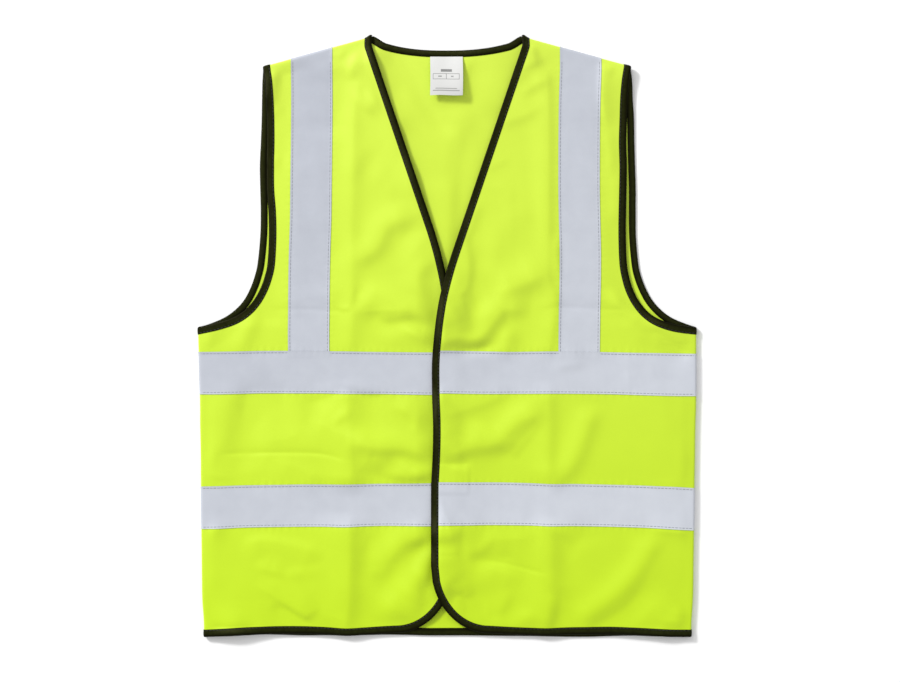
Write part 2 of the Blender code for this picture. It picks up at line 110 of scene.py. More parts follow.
# Level lines of a panel: height at the middle, and how far it falls at each side seam
LINES = {
    #                      middle  right  left
    "hem":               (-357.9,  1.6,   1.6),
    "lower_band_bottom": (-228.2,  2.8,   4.6),
    "lower_band_top":    (-178.2,  2.8,   4.6),
    "upper_band_bottom": (-69.8,   0.2,   2.4),
    "upper_band_top":    (-19.8,   0.2,   2.4),
}
# How far each line on a front strays upwards, at equal steps from the middle to the side
STRAY_S = (0, 25, 50, 75, 100, 125, 150, 175, 200, 225, 250, 275, SIDE_S)
STRAY = {
    ("upper_band_top", "right"): (0.2, 0.1, 0.3, 0.6, 0.9, 1.4, 1.7, 1.9, 2.1, 2, 1.5, 1.1, 0.9),
    ("upper_band_top", "left"): (2.2, 1.7, 1.3, 0.9, 1.3, 1.7, 1.7, 1.6, 1.3, 1.1, 1.1, 1, 0.9),
    ("upper_band_bottom", "right"): (-0.6, -0.6, -0.1, 0.4, 0.5, 0.6, 1.2, 1.2, 1.3, 1.3, 0.7,
                                     0.2, 0.2),
    ("upper_band_bottom", "left"): (1.2, 0.7, 0.5, 0.7, 0.9, 1.2, 1.3, 1.3, 1.1, 0.6, 0.2, 0, 0.2),
    ("lower_band_top", "right"): (2.1, 1.8, 1.5, 1.6, 1.3, 0.9, 1.3, 1.6, 1.4, 1.4, 1.3, 0.9, 0.8),
    ("lower_band_top", "left"): (3.3, 3.1, 3.2, 3.1, 2.6, 1.8, 2.3, 2.3, 2.2, 2.2, 1.8, 1.5, 0.8),
    ("lower_band_bottom", "right"): (0.6, 0.6, 1, 1.2, 0.8, 0.1, 0.8, 1, 1, 1, 0.8, 0, 0),
    ("lower_band_bottom", "left"): (1.9, 1.8, 2.2, 2.2, 2.1, 1.5, 2, 2, 2, 1.8, 1.4, 0.6, 0),
    ("hem", "right"): (4.3, 4.3, 4, 3, 1.5, 0.6, 2.2, 3.2, 3.6, 3.3, 2.7, 1.4, 0.4),
    ("hem", "left"): (4.3, 4.3, 3.5, 2.2, 1.2, 0.9, 1.8, 2.3, 2.7, 2.2, 1.3, 0.4, 0.4),
}
BACK_HEM_STRAY = {"right": (0.3, 0.3, 1, 1.3, 0.8, 0.3, 0.9, 0.9, 1.7, 2.4, 1.8, 0.7, 0.4),
                  "left": (0.3, 0.3, 0.1, -0.2, -0.3, -0.7, -0.9, -0.7, 0.2, 1, 0.6, 0.2, 0.4)}
# How far each side is drawn in towards the hem
DRAWN_Y = (7, -77, -101, -125, -149, -173, -245, -269, -293, -317, -341, -365)
DRAWN = {"right": (0, 2.3, 2.4, 2.9, 3.3, 3.4, 4.1, 4.4, 4.6, 5.1, 6.8, 7.2),
         "left": (-0.3, -0.2, 0.4, 0.9, 1.2, 1.6, 2.4, 2.8, 3, 3.6, 5.2, 5.8)}
# Middle of each brace down from the shoulder
BRACE_Y = (319, 283, 247, 211, 175, 139, 103, 67, 31, -5, -20)
BRACE = {"right": (162.2, 162, 162.2, 162.5, 162.9, 163.3, 164.5, 165.2, 165.5, 165.9, 166),
         "left": (159.8, 158.6, 158.1, 157.9, 157.9, 158.5, 159.3, 159.2, 158.5, 158.1, 158)}
# The left front's open edge strays from its curve
EDGE_STRAY_Y = (40, 19, -5, -29, -53, -77, -101, -125, -149, -173, -197, -400)
EDGE_STRAY = (0, 0.4, 0.8, 0.8, 1.2, 1.6, 2.5, 2.5, 1.7, 0.5, 0, 0)

# Zones of a panel from the side seam inwards and from the hem upwards, and their cells
FRONT_COLUMNS = (("turn", 6), ("underarm", 34), ("strap", 14), ("brace", 20), ("body", 58),
                 ("rim", 4))
BACK_COLUMNS = (("turn", 5), ("underarm", 22), ("strap", 8), ("brace", 14), ("nape", 13),
                ("scoop", 26))
FRONT_ROWS = (("skirt", 62), ("lower_band", 20), ("waist", 68), ("upper_band", 20),
              ("chest", 50), ("yoke", 112), ("turn", 6))
BACK_ROWS = (("skirt", 38), ("lower_band", 14), ("waist", 32), ("upper_band", 14),
             ("chest", 30), ("yoke", 74), ("turn", 5))

# ---------------------------------------------------------------- creases

# A crease runs through a few places in X and Y. Its rise is below zero where it dips. It
# falls off over one width on the side towards the light and another on the far side, and its
# top is round at 2 and sharp at 1.
CREASES = {
    # each is: places, rise, width towards the light, width on the far side, top
    "right": (
        # pressed in by the packing, down the panel and across it
        (((-101, 324), (-111, 268), (-113, 178), (-115, 116), (-113, 42), (-117, -30)),
         1.6, 13.7, 9.8, 1.7),
        (((-124, -50), (-116, -140), (-118, -193)), 4.9, 27.9, 16.9, 1.7),
        (((-118, -209), (-120, -274), (-121, -321), (-129, -363)), 4.1, 38.2, 12.7, 1.7),
        (((-238, 33), (-192, 18), (-140, 34), (-107, 30)), -1.01, 20.9, 19.3, 1.7),
        (((-103, 37), (-75, 14), (-39, 16), (-8, 2)), -3.4, 8.9, 13.1, 2),
        (((-279, -142), (-225, -140), (-170, -140), (-147, -142), (-128, -147), (-117, -149)),
         -0.9, 4, 2.2, 1.3),
        (((-233, 30), (-190, 32), (-144, 31), (-128, 30), (-115, 29)), -0.5, 2.6, 2.2, 1.4),
        (((-114, 28), (-84, 30), (-42, 31)), 0.4, 3, 2.5, 1.4),
        # soft folds
        (((-37, 146), (-71, 132), (-88, 104), (-121, 87)), 3.4, 19.1, 12, 2),
        (((-13, 93), (-33, 73), (-29, 53), (-8, 11)), 2.4, 23.1, 14.9, 1.6),
        (((-218, 38), (-236, 13), (-253, -29)), 2, 12.7, 11.2, 2),
        (((-247, -61), (-266, -79), (-273, -125), (-313, -168)), 1.35, 21.6, 11.5, 2),
        (((-125, -124), (-85, -132), (-55, -133), (-36, -137), (4, -146)), 4.2, 17, 10.7, 2),
        (((-80, -157), (-54, -167), (5, -166)), 2.9, 9.3, 7.9, 2),
        (((-114, -142), (-91, -140), (-85, -147), (-89, -169)), 4, 25.8, 20.9, 2),
        (((-155, -94), (-142, -92), (-132, -74)), 0.27, 6.1, 6, 2),
        (((-234, -128), (-190, -122), (-165, -103)), 1.34, 19.5, 32, 1.3),
        (((-142, -110), (-127, -96), (-112, -97)), 0.96, 8, 6.5, 2),
        (((-150, 56), (-127, 33), (-109, 37)), 0.99, 4.7, 2.7, 1.8),
        (((-254, -251), (-242, -251), (-218, -247), (-172, -257), (-149, -270)),
         1.9, 9.2, 22.1, 2),
        (((-233, -268), (-219, -279), (-193, -284)), 1.41, 12.8, 6.5, 2),
        (((-213, -287), (-178, -284), (-143, -279)), 0.78, 7.1, 8.8, 2),
        (((-236, -295), (-200, -319), (-161, -342)), 1.14, 42, 3.7, 1.3),
        (((-185, -344), (-173, -334), (-153, -321)), 1.19, 42, 6.1, 2),
        (((-3, -232), (-49, -244), (-74, -270), (-84, -295)), 3.5, 18.8, 12.6, 2),
        (((-16, -264), (-41, -305), (-62, -326), (-70, -349)), 4.3, 18.8, 22.5, 2),
        (((-259, -224), (-300, -247), (-298, -315)), 2.4, 9.9, 13.9, 1.4),
        (((-106, -266), (-98, -240), (-80, -235)), 0.7, 42, 7.2, 1.2),
        (((-131, 328), (-126, 346), (-103, 361)), 2.5, 23.4, 6.3, 2),
        (((-114, 304), (-110, 328), (-98, 337)), 2, 7.7, 10.3, 2),
        (((-104, 267), (-90, 281), (-79, 288)), 3.1, 18.1, 13, 2),
        (((-86, 232), (-105, 216), (-118, 178)), 1.16, 15.4, 11.2, 2),
        (((-98, 201), (-70, 182), (-62, 157)), 1.23, 32.1, 9.8, 2),
        (((-206, 334), (-209, 313), (-218, 265)), 3.8, 9.6, 9.5, 2),
        (((-221, 258), (-200, 275), (-189, 277)), 1.5, 32.3, 8.8, 2),
        (((-219, 201), (-205, 212), (-194, 214)), 1.33, 41.4, 8.2, 1.6),
        (((-33, 226), (-38, 170), (-27, 125)), 2.8, 18, 16.6, 2),
        (((-69, -77), (-37, -98), (-37, -122)), 2.5, 7.9, 16.6, 2),
        # small wrinkles
        (((-31, -23), (-23, 16), (-15, 43)), 3.5, 40.3, 32, 1.1),
        (((-8, 67), (-25, 100), (-52, 121)), 2.4, 42, 20.1, 2),
        (((-31, -304), (-24, -286), (-20, -252)), 4.1, 10.7, 21.8, 1.4),
        (((-284, -19), (-292, -8), (-313, 18)), 2.6, 22.5, 32, 1),
        (((-302, -348), (-258, -349), (-225, -347)), -3.1, 9.6, 7.8, 1),
        (((-95, -128), (-132, -117), (-169, -97)), 1.9, 10.4, 26.1, 1.7),
        (((-258, -75), (-219, -73), (-186, -60)), -3.7, 17.7, 30.9, 1.4),
        (((-33, 17), (-71, 43), (-111, 56)), 2.4, 13.6, 28.1, 2),
        (((-154, -359), (-186, -341), (-216, -320)), -2.9, 7.3, 7.3, 2),
        (((-141, -59), (-95, -74), (-66, -71)), -2.5, 6.3, 26.1, 2),
        (((-51, -255), (-29, -253), (13, -242)), -2.5, 7.9, 9.9, 2),
        (((-146, -183), (-174, -163), (-216, -149)), 1.6, 9.7, 19.3, 2),
        (((-140, 232), (-131, 276), (-132, 327)), -2.4, 42, 31.8, 1.3),
        (((-239, -167), (-247, -122), (-232, -75)), -1.7, 15.9, 16.4, 2),
        (((-39, -332), (-67, -306), (-94, -285)), -2, 11.4, 9.3, 1.9),
        (((-179, -80), (-145, -75), (-119, -60)), -1.9, 8.9, 12.4, 1.7),
        (((0, -14), (-39, 3), (-65, 20)), 2.3, 8, 6.8, 2),
        (((-190, 254), (-193, 299), (-215, 334)), -2.4, 16.6, 32, 1),
        (((-141, 47), (-146, 86), (-123, 123)), -1.41, 42, 16.3, 2),
        (((3, -167), (-33, -163), (-69, -145)), 2.6, 6.6, 8.1, 2),
        (((-118, -274), (-86, -275), (-48, -268)), -2.1, 36.7, 18.5, 1.4),
        (((-31, -319), (-20, -299), (1, -278)), -3.1, 21.2, 17.3, 1.3),
        (((-9, 1), (-23, 43), (-29, 82)), 1.42, 40.8, 32, 1.8),
        (((-211, 206), (-192, 234), (-182, 274)), -2.4, 19.1, 32, 1.4),
        (((-251, -170), (-283, -165), (-322, -155)), 0.96, 27.7, 6.5, 2),
        (((-113, 28), (-108, 46), (-105, 63)), -0.95, 4.3, 8, 2),
    ),
    "left": (
        # pressed in by the packing, down the panel and across it
        (((117, 328), (120, 266), (120, 145), (119, 72), (128, 39), (118, -36)),
         2.2, 16.4, 8, 1.9),
        (((120, -52), (122, -125), (119, -184)), 2.4, 17, 10.2, 1.8),
        (((123, -214), (123, -272), (124, -316), (117, -362)), 3.9, 27.5, 14.4, 1.9),
        (((103, 28), (125, 28), (135, 33), (201, 31), (209, 29)), -0.71, 9.4, 11.1, 1.9),
        (((15, -272), (61, -266), (83, -269), (119, -305), (147, -315)), -2, 13.5, 12.3, 1.6),
        (((105, 28), (124, 33), (150, 34), (188, 32), (226, 31)), -0.45, 2.6, 2.2, 1.4),
        (((32, -268), (67, -272), (103, -281), (128, -287)), -0.85, 4, 2, 1.3),
        # soft folds
        (((-22, -15), (11, -1), (38, -1), (58, 22), (70, 33), (103, 31)), 3.7, 19.3, 10, 2),
        (((11, 142), (23, 99), (23, 62), (15, 46), (26, 17)), 2.7, 26.1, 7.7, 2),
        (((-25, 19), (5, 21), (26, 36)), 5, 38.8, 19.8, 2),
        (((52, 51), (95, 66), (123, 80)), 4.1, 24, 12.6, 2),
        (((80, 16), (73, -1), (67, -33)), 2.3, 9.9, 11.3, 2),
        (((-14, -97), (43, -79), (81, -60)), 1.5, 17.5, 8.8, 2),
        (((20, -89), (-7, -113), (0, -154)), 3.5, 42, 19.9, 1.5),
        (((-9, -145), (26, -133), (64, -126), (74, -114), (94, -97), (121, -92)),
         4, 17.8, 11.8, 2),
        (((67, -127), (84, -141), (89, -145)), 0.86, 42, 5.9, 1.9),
        (((175, -79), (169, -104), (149, -154), (115, -184)), 2.8, 16.6, 12, 2),
        (((259, -50), (258, -93), (268, -132), (311, -162)), 1.9, 42, 30.1, 1.5),
        (((-26, -232), (0, -236), (22, -227)), 5, 31.2, 12.9, 2),
        (((9, -255), (41, -256), (60, -228)), 1.19, 8.4, 7.5, 2),
        (((-11, -246), (-7, -291), (0, -325)), 5, 17.1, 21.8, 1.8),
        (((8, -295), (19, -309), (36, -309)), 2, 14, 7.3, 2),
        (((15, -210), (16, -249), (19, -266)), 1.5, 4, 16.8, 2),
        (((72, -299), (70, -319), (54, -336)), 1.09, 11.9, 7.7, 2),
        (((251, -233), (239, -268), (213, -301), (184, -325), (154, -346)), 3.3, 16.4, 13.5, 2),
        (((162, -241), (164, -262), (146, -277)), 0.72, 9.1, 25.9, 2),
        (((290, -322), (284, -331), (282, -353)), 2.1, 39, 32, 1.9),
        (((102, 364), (101, 340), (108, 320)), 3.1, 26.2, 7.7, 2),
        (((67, 292), (94, 320), (127, 337)), 1.43, 6.9, 7.7, 2),
        (((82, 288), (107, 303), (126, 311)), 1.9, 42, 8.1, 2),
        (((51, 252), (94, 267), (115, 282)), 1.9, 41.9, 9.2, 2),
        (((39, 199), (69, 210), (76, 216)), 0.52, 8.8, 5.5, 2),
        (((50, 175), (65, 178), (85, 160)), 0.54, 6.6, 8.6, 2),
        (((61, 142), (89, 143), (109, 145)), 0.9, 42, 32, 1),
        (((177, 326), (194, 327), (206, 324)), 4.3, 15.3, 10.7, 1.9),
        (((186, 328), (186, 280), (195, 246)), 1.8, 4.4, 9.7, 1.9),
        (((187, 257), (196, 222), (195, 183)), 1.14, 6.4, 8.7, 2),
        (((39, 169), (26, 126), (35, 112)), 1.7, 5.6, 8.1, 2),
        (((200, -27), (217, -40), (218, -68)), 0.56, 5.3, 18.2, 2),
        (((240, -30), (246, -47), (262, -67)), 0.46, 6.7, 4.8, 2),
        (((119, -37), (147, -34), (172, -27)), 1.3, 41.5, 7.4, 2),
        (((232, 23), (252, 6), (248, -20)), 2.8, 14.5, 32, 1.5),
        # small wrinkles
        (((52, -331), (22, -317), (-2, -292)), -3.8, 17.2, 10.6, 1.7),
        (((291, -31), (294, -12), (293, 0)), -1.32, 10.8, 24.8, 1),
        (((-5, -27), (-3, 27), (7, 75)), 3.8, 18.5, 23.4, 1.2),
        (((18, -131), (-11, -103), (-1, -53)), 3.9, 10.1, 14.1, 1.6),
        (((110, -243), (73, -243), (43, -245)), 2.5, 34.9, 26.8, 1.1),
        (((248, 12), (218, 27), (188, 58)), 3.1, 7.7, 9.1, 2),
        (((44, -335), (79, -347), (117, -325)), 1.8, 12.5, 13, 1.9),
        (((315, -240), (273, -235), (237, -233)), 2.5, 17.7, 10.8, 1),
        (((29, -161), (16, -155), (-6, -154)), -1.6, 10.1, 4, 2),
        (((307, -371), (272, -354), (242, -329)), -2.9, 27.2, 28.2, 1),
        (((41, 20), (32, 53), (3, 64)), -2.6, 15.3, 9.5, 2),
        (((139, 344), (114, 354), (74, 350)), 4, 13.8, 9.9, 1.6),
        (((4, -18), (43, -15), (61, -3)), -2.6, 6.6, 6.5, 1.9),
        (((155, -252), (131, -231), (94, -225)), 1.7, 30.4, 6, 2),
        (((95, -298), (67, -285), (32, -276)), 1.7, 7.8, 17.2, 2),
        (((202, 128), (203, 163), (202, 206)), 1.44, 9.9, 9.3, 2),
        (((-13, 17), (21, 6), (52, 13)), -1.8, 14.4, 9.2, 2),
        (((20, -282), (18, -253), (13, -218)), -1.2, 7.3, 6, 2),
        (((300, -167), (299, -137), (296, -109)), -1.24, 3.1, 7.6, 1.3),
        (((243, -305), (260, -273), (278, -250)), 0.89, 8.9, 23, 1.9),
        (((136, 62), (131, 94), (132, 126)), 1.6, 7.9, 4, 2),
        (((123, -372), (138, -329), (140, -296)), -1.46, 9.6, 17, 1.8),
        (((61, 92), (22, 99), (-12, 108)), -2, 42, 31.8, 1.9),
        (((72, -144), (55, -119), (16, -107)), 1.7, 9.3, 17.6, 2),
        (((165, -361), (216, -328), (244, -293)), -0.61, 7, 15.8, 2),
        (((298, -33), (266, -7), (234, 15)), -2.4, 6, 20.6, 2),
    ),
    "back": (
        # seen through the neck
        (((-108, 402), (-90, 340), (-76, 290), (-60, 235)), 3.6, 9, 20, 1.6),
        (((-52, 343), (-13, 293), (-5, 232)), 0.34, 5.6, 11, 2),
        (((17, 322), (14, 245), (7, 188), (-2, 82)), 1.07, 28.3, 8.7, 2),
        (((18, 352), (59, 320), (52, 258)), 1.9, 22.7, 22.2, 2),
        (((-21, 280), (18, 278), (42, 288)), -2, 6.7, 12.1, 2),
        (((21, 274), (21, 320), (38, 334)), 1.7, 19.4, 5.7, 2),
        (((32, 161), (12, 185), (16, 241)), -0.72, 10, 12.5, 2),
        (((9, 236), (-19, 269), (-46, 311)), -2.3, 9.5, 12.8, 2),
        (((-27, 293), (-50, 318), (-71, 349)), -2.1, 25.6, 7.4, 1.6),
        (((26, 232), (24, 276), (7, 311)), 0.49, 6, 7.1, 2),
        # pressed in by the packing, seen from below
        (((-115, 331), (-114, 163), (-116, -5), (-116, -173), (-118, -350)), 0.9, 8, 8, 1.3),
        (((122, 331), (121, 163), (124, -5), (124, -173), (125, -350)), 0.9, 8, 8, 1.3),
        (((-278, 29), (-140, 31), (0, 26), (136, 34), (280, 29)), 0.7, 5, 5, 1.2),
        (((-284, -144), (-140, -148), (0, -150), (136, -146), (292, -149)), 0.7, 5, 5, 1.2),
        # soft folds on the underside
        (((-224, -89), (-188, -115), (-176, -161)), 1.7, 15.4, 14.5, 2),
        (((184, -77), (154, -113), (136, -161)), 1.9, 15.4, 14.5, 2),
        (((0, 195), (4, 95), (39, 44)), 1.05, 42, 9.6, 1.7),
        (((-56, -101), (-8, -125), (64, -113)), 1.8, 15.4, 13, 2),
        (((-248, -269), (-188, -293), (-140, -335)), 1.9, 15.4, 14.5, 2),
        (((232, -245), (196, -293), (172, -331)), 2, 15.4, 15, 2),
        (((4, -245), (28, -281), (18, -329)), 1.6, 13.2, 14.5, 2),
        (((-164, 163), (-140, 103), (-148, 43)), 1.3, 13.2, 14.5, 2),
        (((172, 187), (154, 115), (166, 43)), 1.3, 13.2, 14.5, 2),
    ),
}
SMOOTH_STEPS = 7                        # cuts between two places of a crease
FADE_LENGTH = 26.0                      # over which a crease dies out at its ends
FADE_SHARE = 0.4                        # of its length, where the crease is short
CREASE_SPREAD = 3.5                     # widths from a crease past which it has no rise
FROM_LIGHT = 0.8, -1.0                  # the way across the vest that leads away from the light

# Patches of the left front that the closure's tape raises: x1, y1, x2, y2, rise
IMPRINTS = ((-12.0, -190.0, 27.5, -153.0, 0.6), (-12.0, -262.0, 14.0, -228.0, 0.5))
IMPRINT_EDGE = 2.6

# The fronts sink onto the back along the hem, away from the side seams, and beside the armholes
HEM_DROP, HEM_DROP_REACH = 2.2, 60.0
HEM_DROP_START, HEM_DROP_FADE = 24.0, 40.0
ARM_DROP, ARM_DROP_REACH = 1.9, 34.0
ARM_DROP_LOW, ARM_DROP_FADE, ARM_DROP_SHOULDER = 8.0, 20.0, 40.0
# No front sinks lower than this, nor the left front's rim on the right front, and no back
# below its flat place. The knees ease the cloth onto these floors.
FRONT_LOWEST, RIM_LOWEST, BACK_LOWEST = -2.3, -1.5, 0.0
FRONT_KNEE, BACK_KNEE = 0.5, 0.1
# The left front's rim rides over the right front out to here, up to the foot of the V
RIM_S, RIM_EASE, RIM_FADE = 26.0, 18.0, 14.0
RIM_TOP, RIM_TOP_FADE = 100.0, 40.0
# The right front lies flat where it is covered
COVERED_S, COVERED_FADE = 12.0, 26.0
COVERED_TOP, COVERED_TOP_FADE = 60.0, 40.0
# The right front's neckline stands off the back, and more so near the shoulder
NECKLINE_LIFT, NECKLINE_LIFT_REACH = 3.4, 30.0
NECKLINE_LIFT_LOW, NECKLINE_LIFT_FADE, NECKLINE_SHOULDER = 190.0, 90.0, 30.0
NECK_CORNER_LIFT, NECK_CORNER_REACH = 2.4, 90.0
NECK_CORNER_LOW, NECK_CORNER_FADE = 276.0, 50.0
SEAM_FADE = 16.0                        # over which creases die out towards a seam

# Places where the cloth stands up from the table: x, y, rise, half width
STANDS = {
    "right": ((-256.0, -362.0, 6.8, 30.0), (-118.0, -362.0, 2.6, 17.0)),
    "left": ((262.0, -362.0, 4.2, 36.0), (124.0, -362.0, 2.6, 18.0), (222.0, 308.0, 3.4, 34.0)),
    "back": ((-256.0, -362.0, 5.8, 29.0), (262.0, -362.0, 3.0, 32.0), (222.0, 308.0, 3.4, 34.0),
             (-5.0, 285.0, 2.4, 62.0)),
}

# Slack of the cloth: soft waves of many lengths, each with a height in step with its length
WAVE_COUNT = 26
WAVE_SEEDS = {"front": 5, "back": 9}
WAVE_LENGTHS = (24.0, 110.0)
WAVE_STEEPNESS = 0.0005
PUCKER = 0.16                           # ripple where a seam gathers the cloth
PUCKER_LENGTH = 8.5
PUCKER_REACH = 5.0
PUCKER_UNEVEN = 2.2                     # how unevenly the ripples follow each other
BAND_UNEVEN, BRACE_UNEVEN = 21.0, 19.0  # lengths over which they do
BRACE_PUCKER, BRACE_PUCKER_FADE = 0.7, 8.0

# Label
LABEL_LEFT, LABEL_RIGHT = -20.2, 18.8
LABEL_TOP, LABEL_BOTTOM = 334.6, 287.8
LABEL_CURL = 6.5                        # how far its free end stands up
LABEL_WALL = 0.3
LABEL_OUT = 1.3                         # off the middle of the back, under the binding
LABEL_CELLS = 26, 34
LABEL_CURL_POWER = 2.4                  # how early down the label the curl starts
LABEL_TILT = 1.1, 0.28                  # share of the curl at its left, less this to its right
LABEL_SAG, LABEL_SAG_TURN, LABEL_SAG_SHIFT = 0.35, 7.5, 0.6
LABEL_WARP = (0.4, 3.0), (0.3, 6.0)     # how far its sides and its end wander, and how often
# Printed marks, as shares of the label's width and length: left, right, low, high, darkness
LABEL_MARKS = (
    (0.32, 0.66, 0.60, 0.67, 0.7),
    (0.075, 0.892, 0.405, 0.56, 0.6), (0.092, 0.478, 0.42, 0.545, -0.6),
    (0.498, 0.875, 0.42, 0.545, -0.6),
    (0.24, 0.35, 0.465, 0.5, 0.55), (0.63, 0.71, 0.465, 0.5, 0.55),
    (0.16, 0.82, 0.160, 0.184, 0.5), (0.08, 0.90, 0.105, 0.132, 0.5),
)

# Stitches
STITCH_LENGTH = 3.4
STITCH_PITCH = 4.3
THREAD = 0.9
STITCH_INSET = 2.2                      # from the edge of the tape
BINDING_STITCH_INSET = 1.3              # from the inner edge of the binding
BINDING_STITCH_OUT = 1.0                # off the middle of the cloth
ROW_STEP = 1.6                          # between the places that a row of stitches follows
BRACE_ROW_TOP = 330.0                   # no row along a brace runs higher than this
BRACE_ROW_GAP = 0.8                     # from the upper band to the foot of a brace's rows
BAND_ROW_GAP = 0.6                      # from a front's binding to the ends of its bands' rows
FIRST_STITCH = 0.4                      # from the end of a row
STITCH_ROUNDING = 0.4                   # share of its thickness that a stitch's end is rounded


# ---------------------------------------------------------------- outlines of the flat pieces

def lerp(start, end, share):
    """Value at a share of the way from start to end."""
    return start + (end - start) * share


def soft_step(share):
    """Rise from 0 to 1 with level ends."""
    share = np.clip(share, 0.0, 1.0)
    return share * share * (3 - 2 * share)


def smooth_path(places):
    """Cut a crease's run of places into short steps along a smooth curve."""
    places = np.array(places, dtype=float)
    padded = np.vstack([2 * places[0] - places[1], places, 2 * places[-1] - places[-2]])
    path = []
    for before, start, end, after in zip(padded, padded[1:], padded[2:], padded[3:]):
        for k in range(SMOOTH_STEPS):
            t = k / SMOOTH_STEPS
            path.append(0.5 * (2 * start + (end - before) * t
                               + (2 * before - 5 * start + 4 * end - after) * t ** 2
                               + (3 * start - before - 3 * end + after) * t ** 3))
    return np.array(path + [places[-1]])


def smooth_tables(places, tables):
    """Smooth curves through tables of values at the same places, in rising order."""
    curves = {}
    for key, values in tables.items():
        path = smooth_path(tuple(zip(places, values)))
        curves[key] = path[::-1].T if path[0, 0] > path[-1, 0] else path.T
    return curves


STRAY_CURVES = smooth_tables(STRAY_S, STRAY)
BACK_HEM_CURVES = smooth_tables(STRAY_S, BACK_HEM_STRAY)
DRAWN_CURVES = smooth_tables(DRAWN_Y, DRAWN)
BRACE_CURVES = smooth_tables(BRACE_Y, BRACE)
EDGE_CURVES = smooth_tables(EDGE_STRAY_Y, {"left": EDGE_STRAY})


def on_half(curves, left, at):
    """Value at each place of the curve of its own half."""
    return np.where(left, np.interp(at, *curves["left"]), np.interp(at, *curves["right"]))


def line_y(name, side, left, s):
    """Height of a level line on a panel."""
    middle, right_fall, left_fall = LINES[name]
    y = middle - np.where(left, left_fall, right_fall) * (s / SIDE_S) ** 2
    if side != "back":
        return y + np.interp(s, *STRAY_CURVES[name, side])
    return y + on_half(BACK_HEM_CURVES, left, s) if name == "hem" else y


def armhole_paths():
    """Smooth edge of each armhole as S and Y, up the side of the arm and out under it."""
    paths = {}
    for key in ARM_EDGE:
        steps = [ARM_EDGE[key][0] + step for step in ARM_STEPS] + [ARM_END_S]
        under = list(zip(steps, ARM_UNDER[key] + (ARM_END_Y,)))
        path = smooth_path(under[:0:-1] + list(zip(ARM_EDGE[key], ARM_HEIGHTS)))
        split = int(np.argmin(abs(path[:, 1] - CHEST_TOP)))
        paths[key] = path[split:], path[split::-1]
    return paths


ARM_PATHS = armhole_paths()


def armhole_y(face, left, s):
    """Height of the armhole's edge where it runs under the arm."""
    right_y, left_y = (np.interp(s, *ARM_PATHS[face, side][1].T) for side in ("right", "left"))
    return np.where(left, left_y, right_y)


def armhole_s(face, side, y):
    """Distance of the armhole's edge where it runs up to the shoulder."""
    path = ARM_PATHS[face, side][0]
    return np.interp(y, path[:, 1], path[:, 0])


def front_edge_s(side, y):
    """Distance of a front's open edge, below zero where it passes the middle."""
    reach = REACH[side]
    lean = math.atan(NECKLINE_SLOPE)
    corner_y = NECKLINE_Y - (NECKLINE_S + reach) / NECKLINE_SLOPE
    arc_start = corner_y - EDGE_RADIUS * math.tan(lean / 2)
    arc_height = EDGE_RADIUS * math.sin(lean)
    up = np.clip(y - arc_start, 0.0, arc_height)
    curved = EDGE_RADIUS - reach - np.sqrt(EDGE_RADIUS ** 2 - up * up)
    slanted = NECKLINE_S + (y - NECKLINE_Y) * NECKLINE_SLOPE
    edge = np.minimum(np.where(y < arc_start + arc_height, curved, slanted), NECK_S)
    return edge + np.interp(y, *EDGE_CURVES["left"]) if side == "left" else edge


def hem_y(side, left, s):
    """Height of the lower edge, which a front rounds up to its open edge."""
    y = line_y("hem", side, left, s)
    if side == "back":
        return y
    share = np.clip((CORNER_S - REACH[side] - s) / CORNER_S, 0.0, 1.0)
    return y + CORNER_Y * (1 - np.sqrt(1 - share * share))


def shoulder_y(s):
    """Height of the shoulder line, a little up at the neck where the bindings meet."""
    corner = NECK_RISE * np.exp(-((s - NECK_S) / NECK_RISE_REACH) ** 2)
    return NECK_Y - (s - NECK_S) * SHOULDER_SLOPE + corner


def top_y(face, s):
    """Height of the shoulder line, or of the back's scoop between the shoulders."""
    if face == "front":
        return shoulder_y(s)
    share = np.clip(s / NECK_S, 0.0, 1.0)
    scoop = SCOOP_Y + (NECK_Y - SCOOP_Y) * share ** SCOOP_POWER
    scoop += SCOOP_RISE * soft_step((share - SCOOP_RISE_START) / SCOOP_RISE_SPAN)
    return np.where(s >= NECK_S, shoulder_y(s), np.minimum(scoop, shoulder_y(NECK_S) + 1.0))


def brace_s(left, y):
    """Distance of a brace's middle."""
    return on_half(BRACE_CURVES, left, y)


# ---------------------------------------------------------------- shape on the table

def crease_rise(places, rise, lit, far, top, x, y):
    """Height of one crease over many places."""
    path = smooth_path(places)
    steps = np.diff(path, axis=0)
    lengths = np.hypot(steps[:, 0], steps[:, 1])
    run = np.concatenate([[0.0], np.cumsum(lengths)])
    spread = CREASE_SPREAD * max(lit, far)
    low, high = path.min(axis=0) - spread, path.max(axis=0) + spread
    near = (x > low[0]) & (x < high[0]) & (y > low[1]) & (y < high[1])
    height = np.zeros(x.shape)
    if not near.any():
        return height
    from_start = np.stack([x[near], y[near]], axis=-1)[:, None, :] - path[None, :-1, :]
    share = np.clip((from_start * steps).sum(axis=2) / lengths ** 2, 0.0, 1.0)
    offset = from_start - share[..., None] * steps
    distance = np.hypot(offset[..., 0], offset[..., 1])
    nearest = distance.argmin(axis=1)
    rows = np.arange(len(nearest))
    distance, offset = distance[rows, nearest], offset[rows, nearest]
    along = run[nearest] + share[rows, nearest] * lengths[nearest]
    turn = steps[nearest][:, 0] * offset[:, 1] - steps[nearest][:, 1] * offset[:, 0]
    overall = path[-1] - path[0]
    light_turn = overall[0] * FROM_LIGHT[1] - overall[1] * FROM_LIGHT[0]
    width = np.where(turn * light_turn > 0, far, lit)
    fade = min(FADE_LENGTH, FADE_SHARE * run[-1])
    ends = soft_step(along / fade) * soft_step((run[-1] - along) / fade)
    height[near] = rise * ends * np.exp(-(distance / width) ** top)
    return height


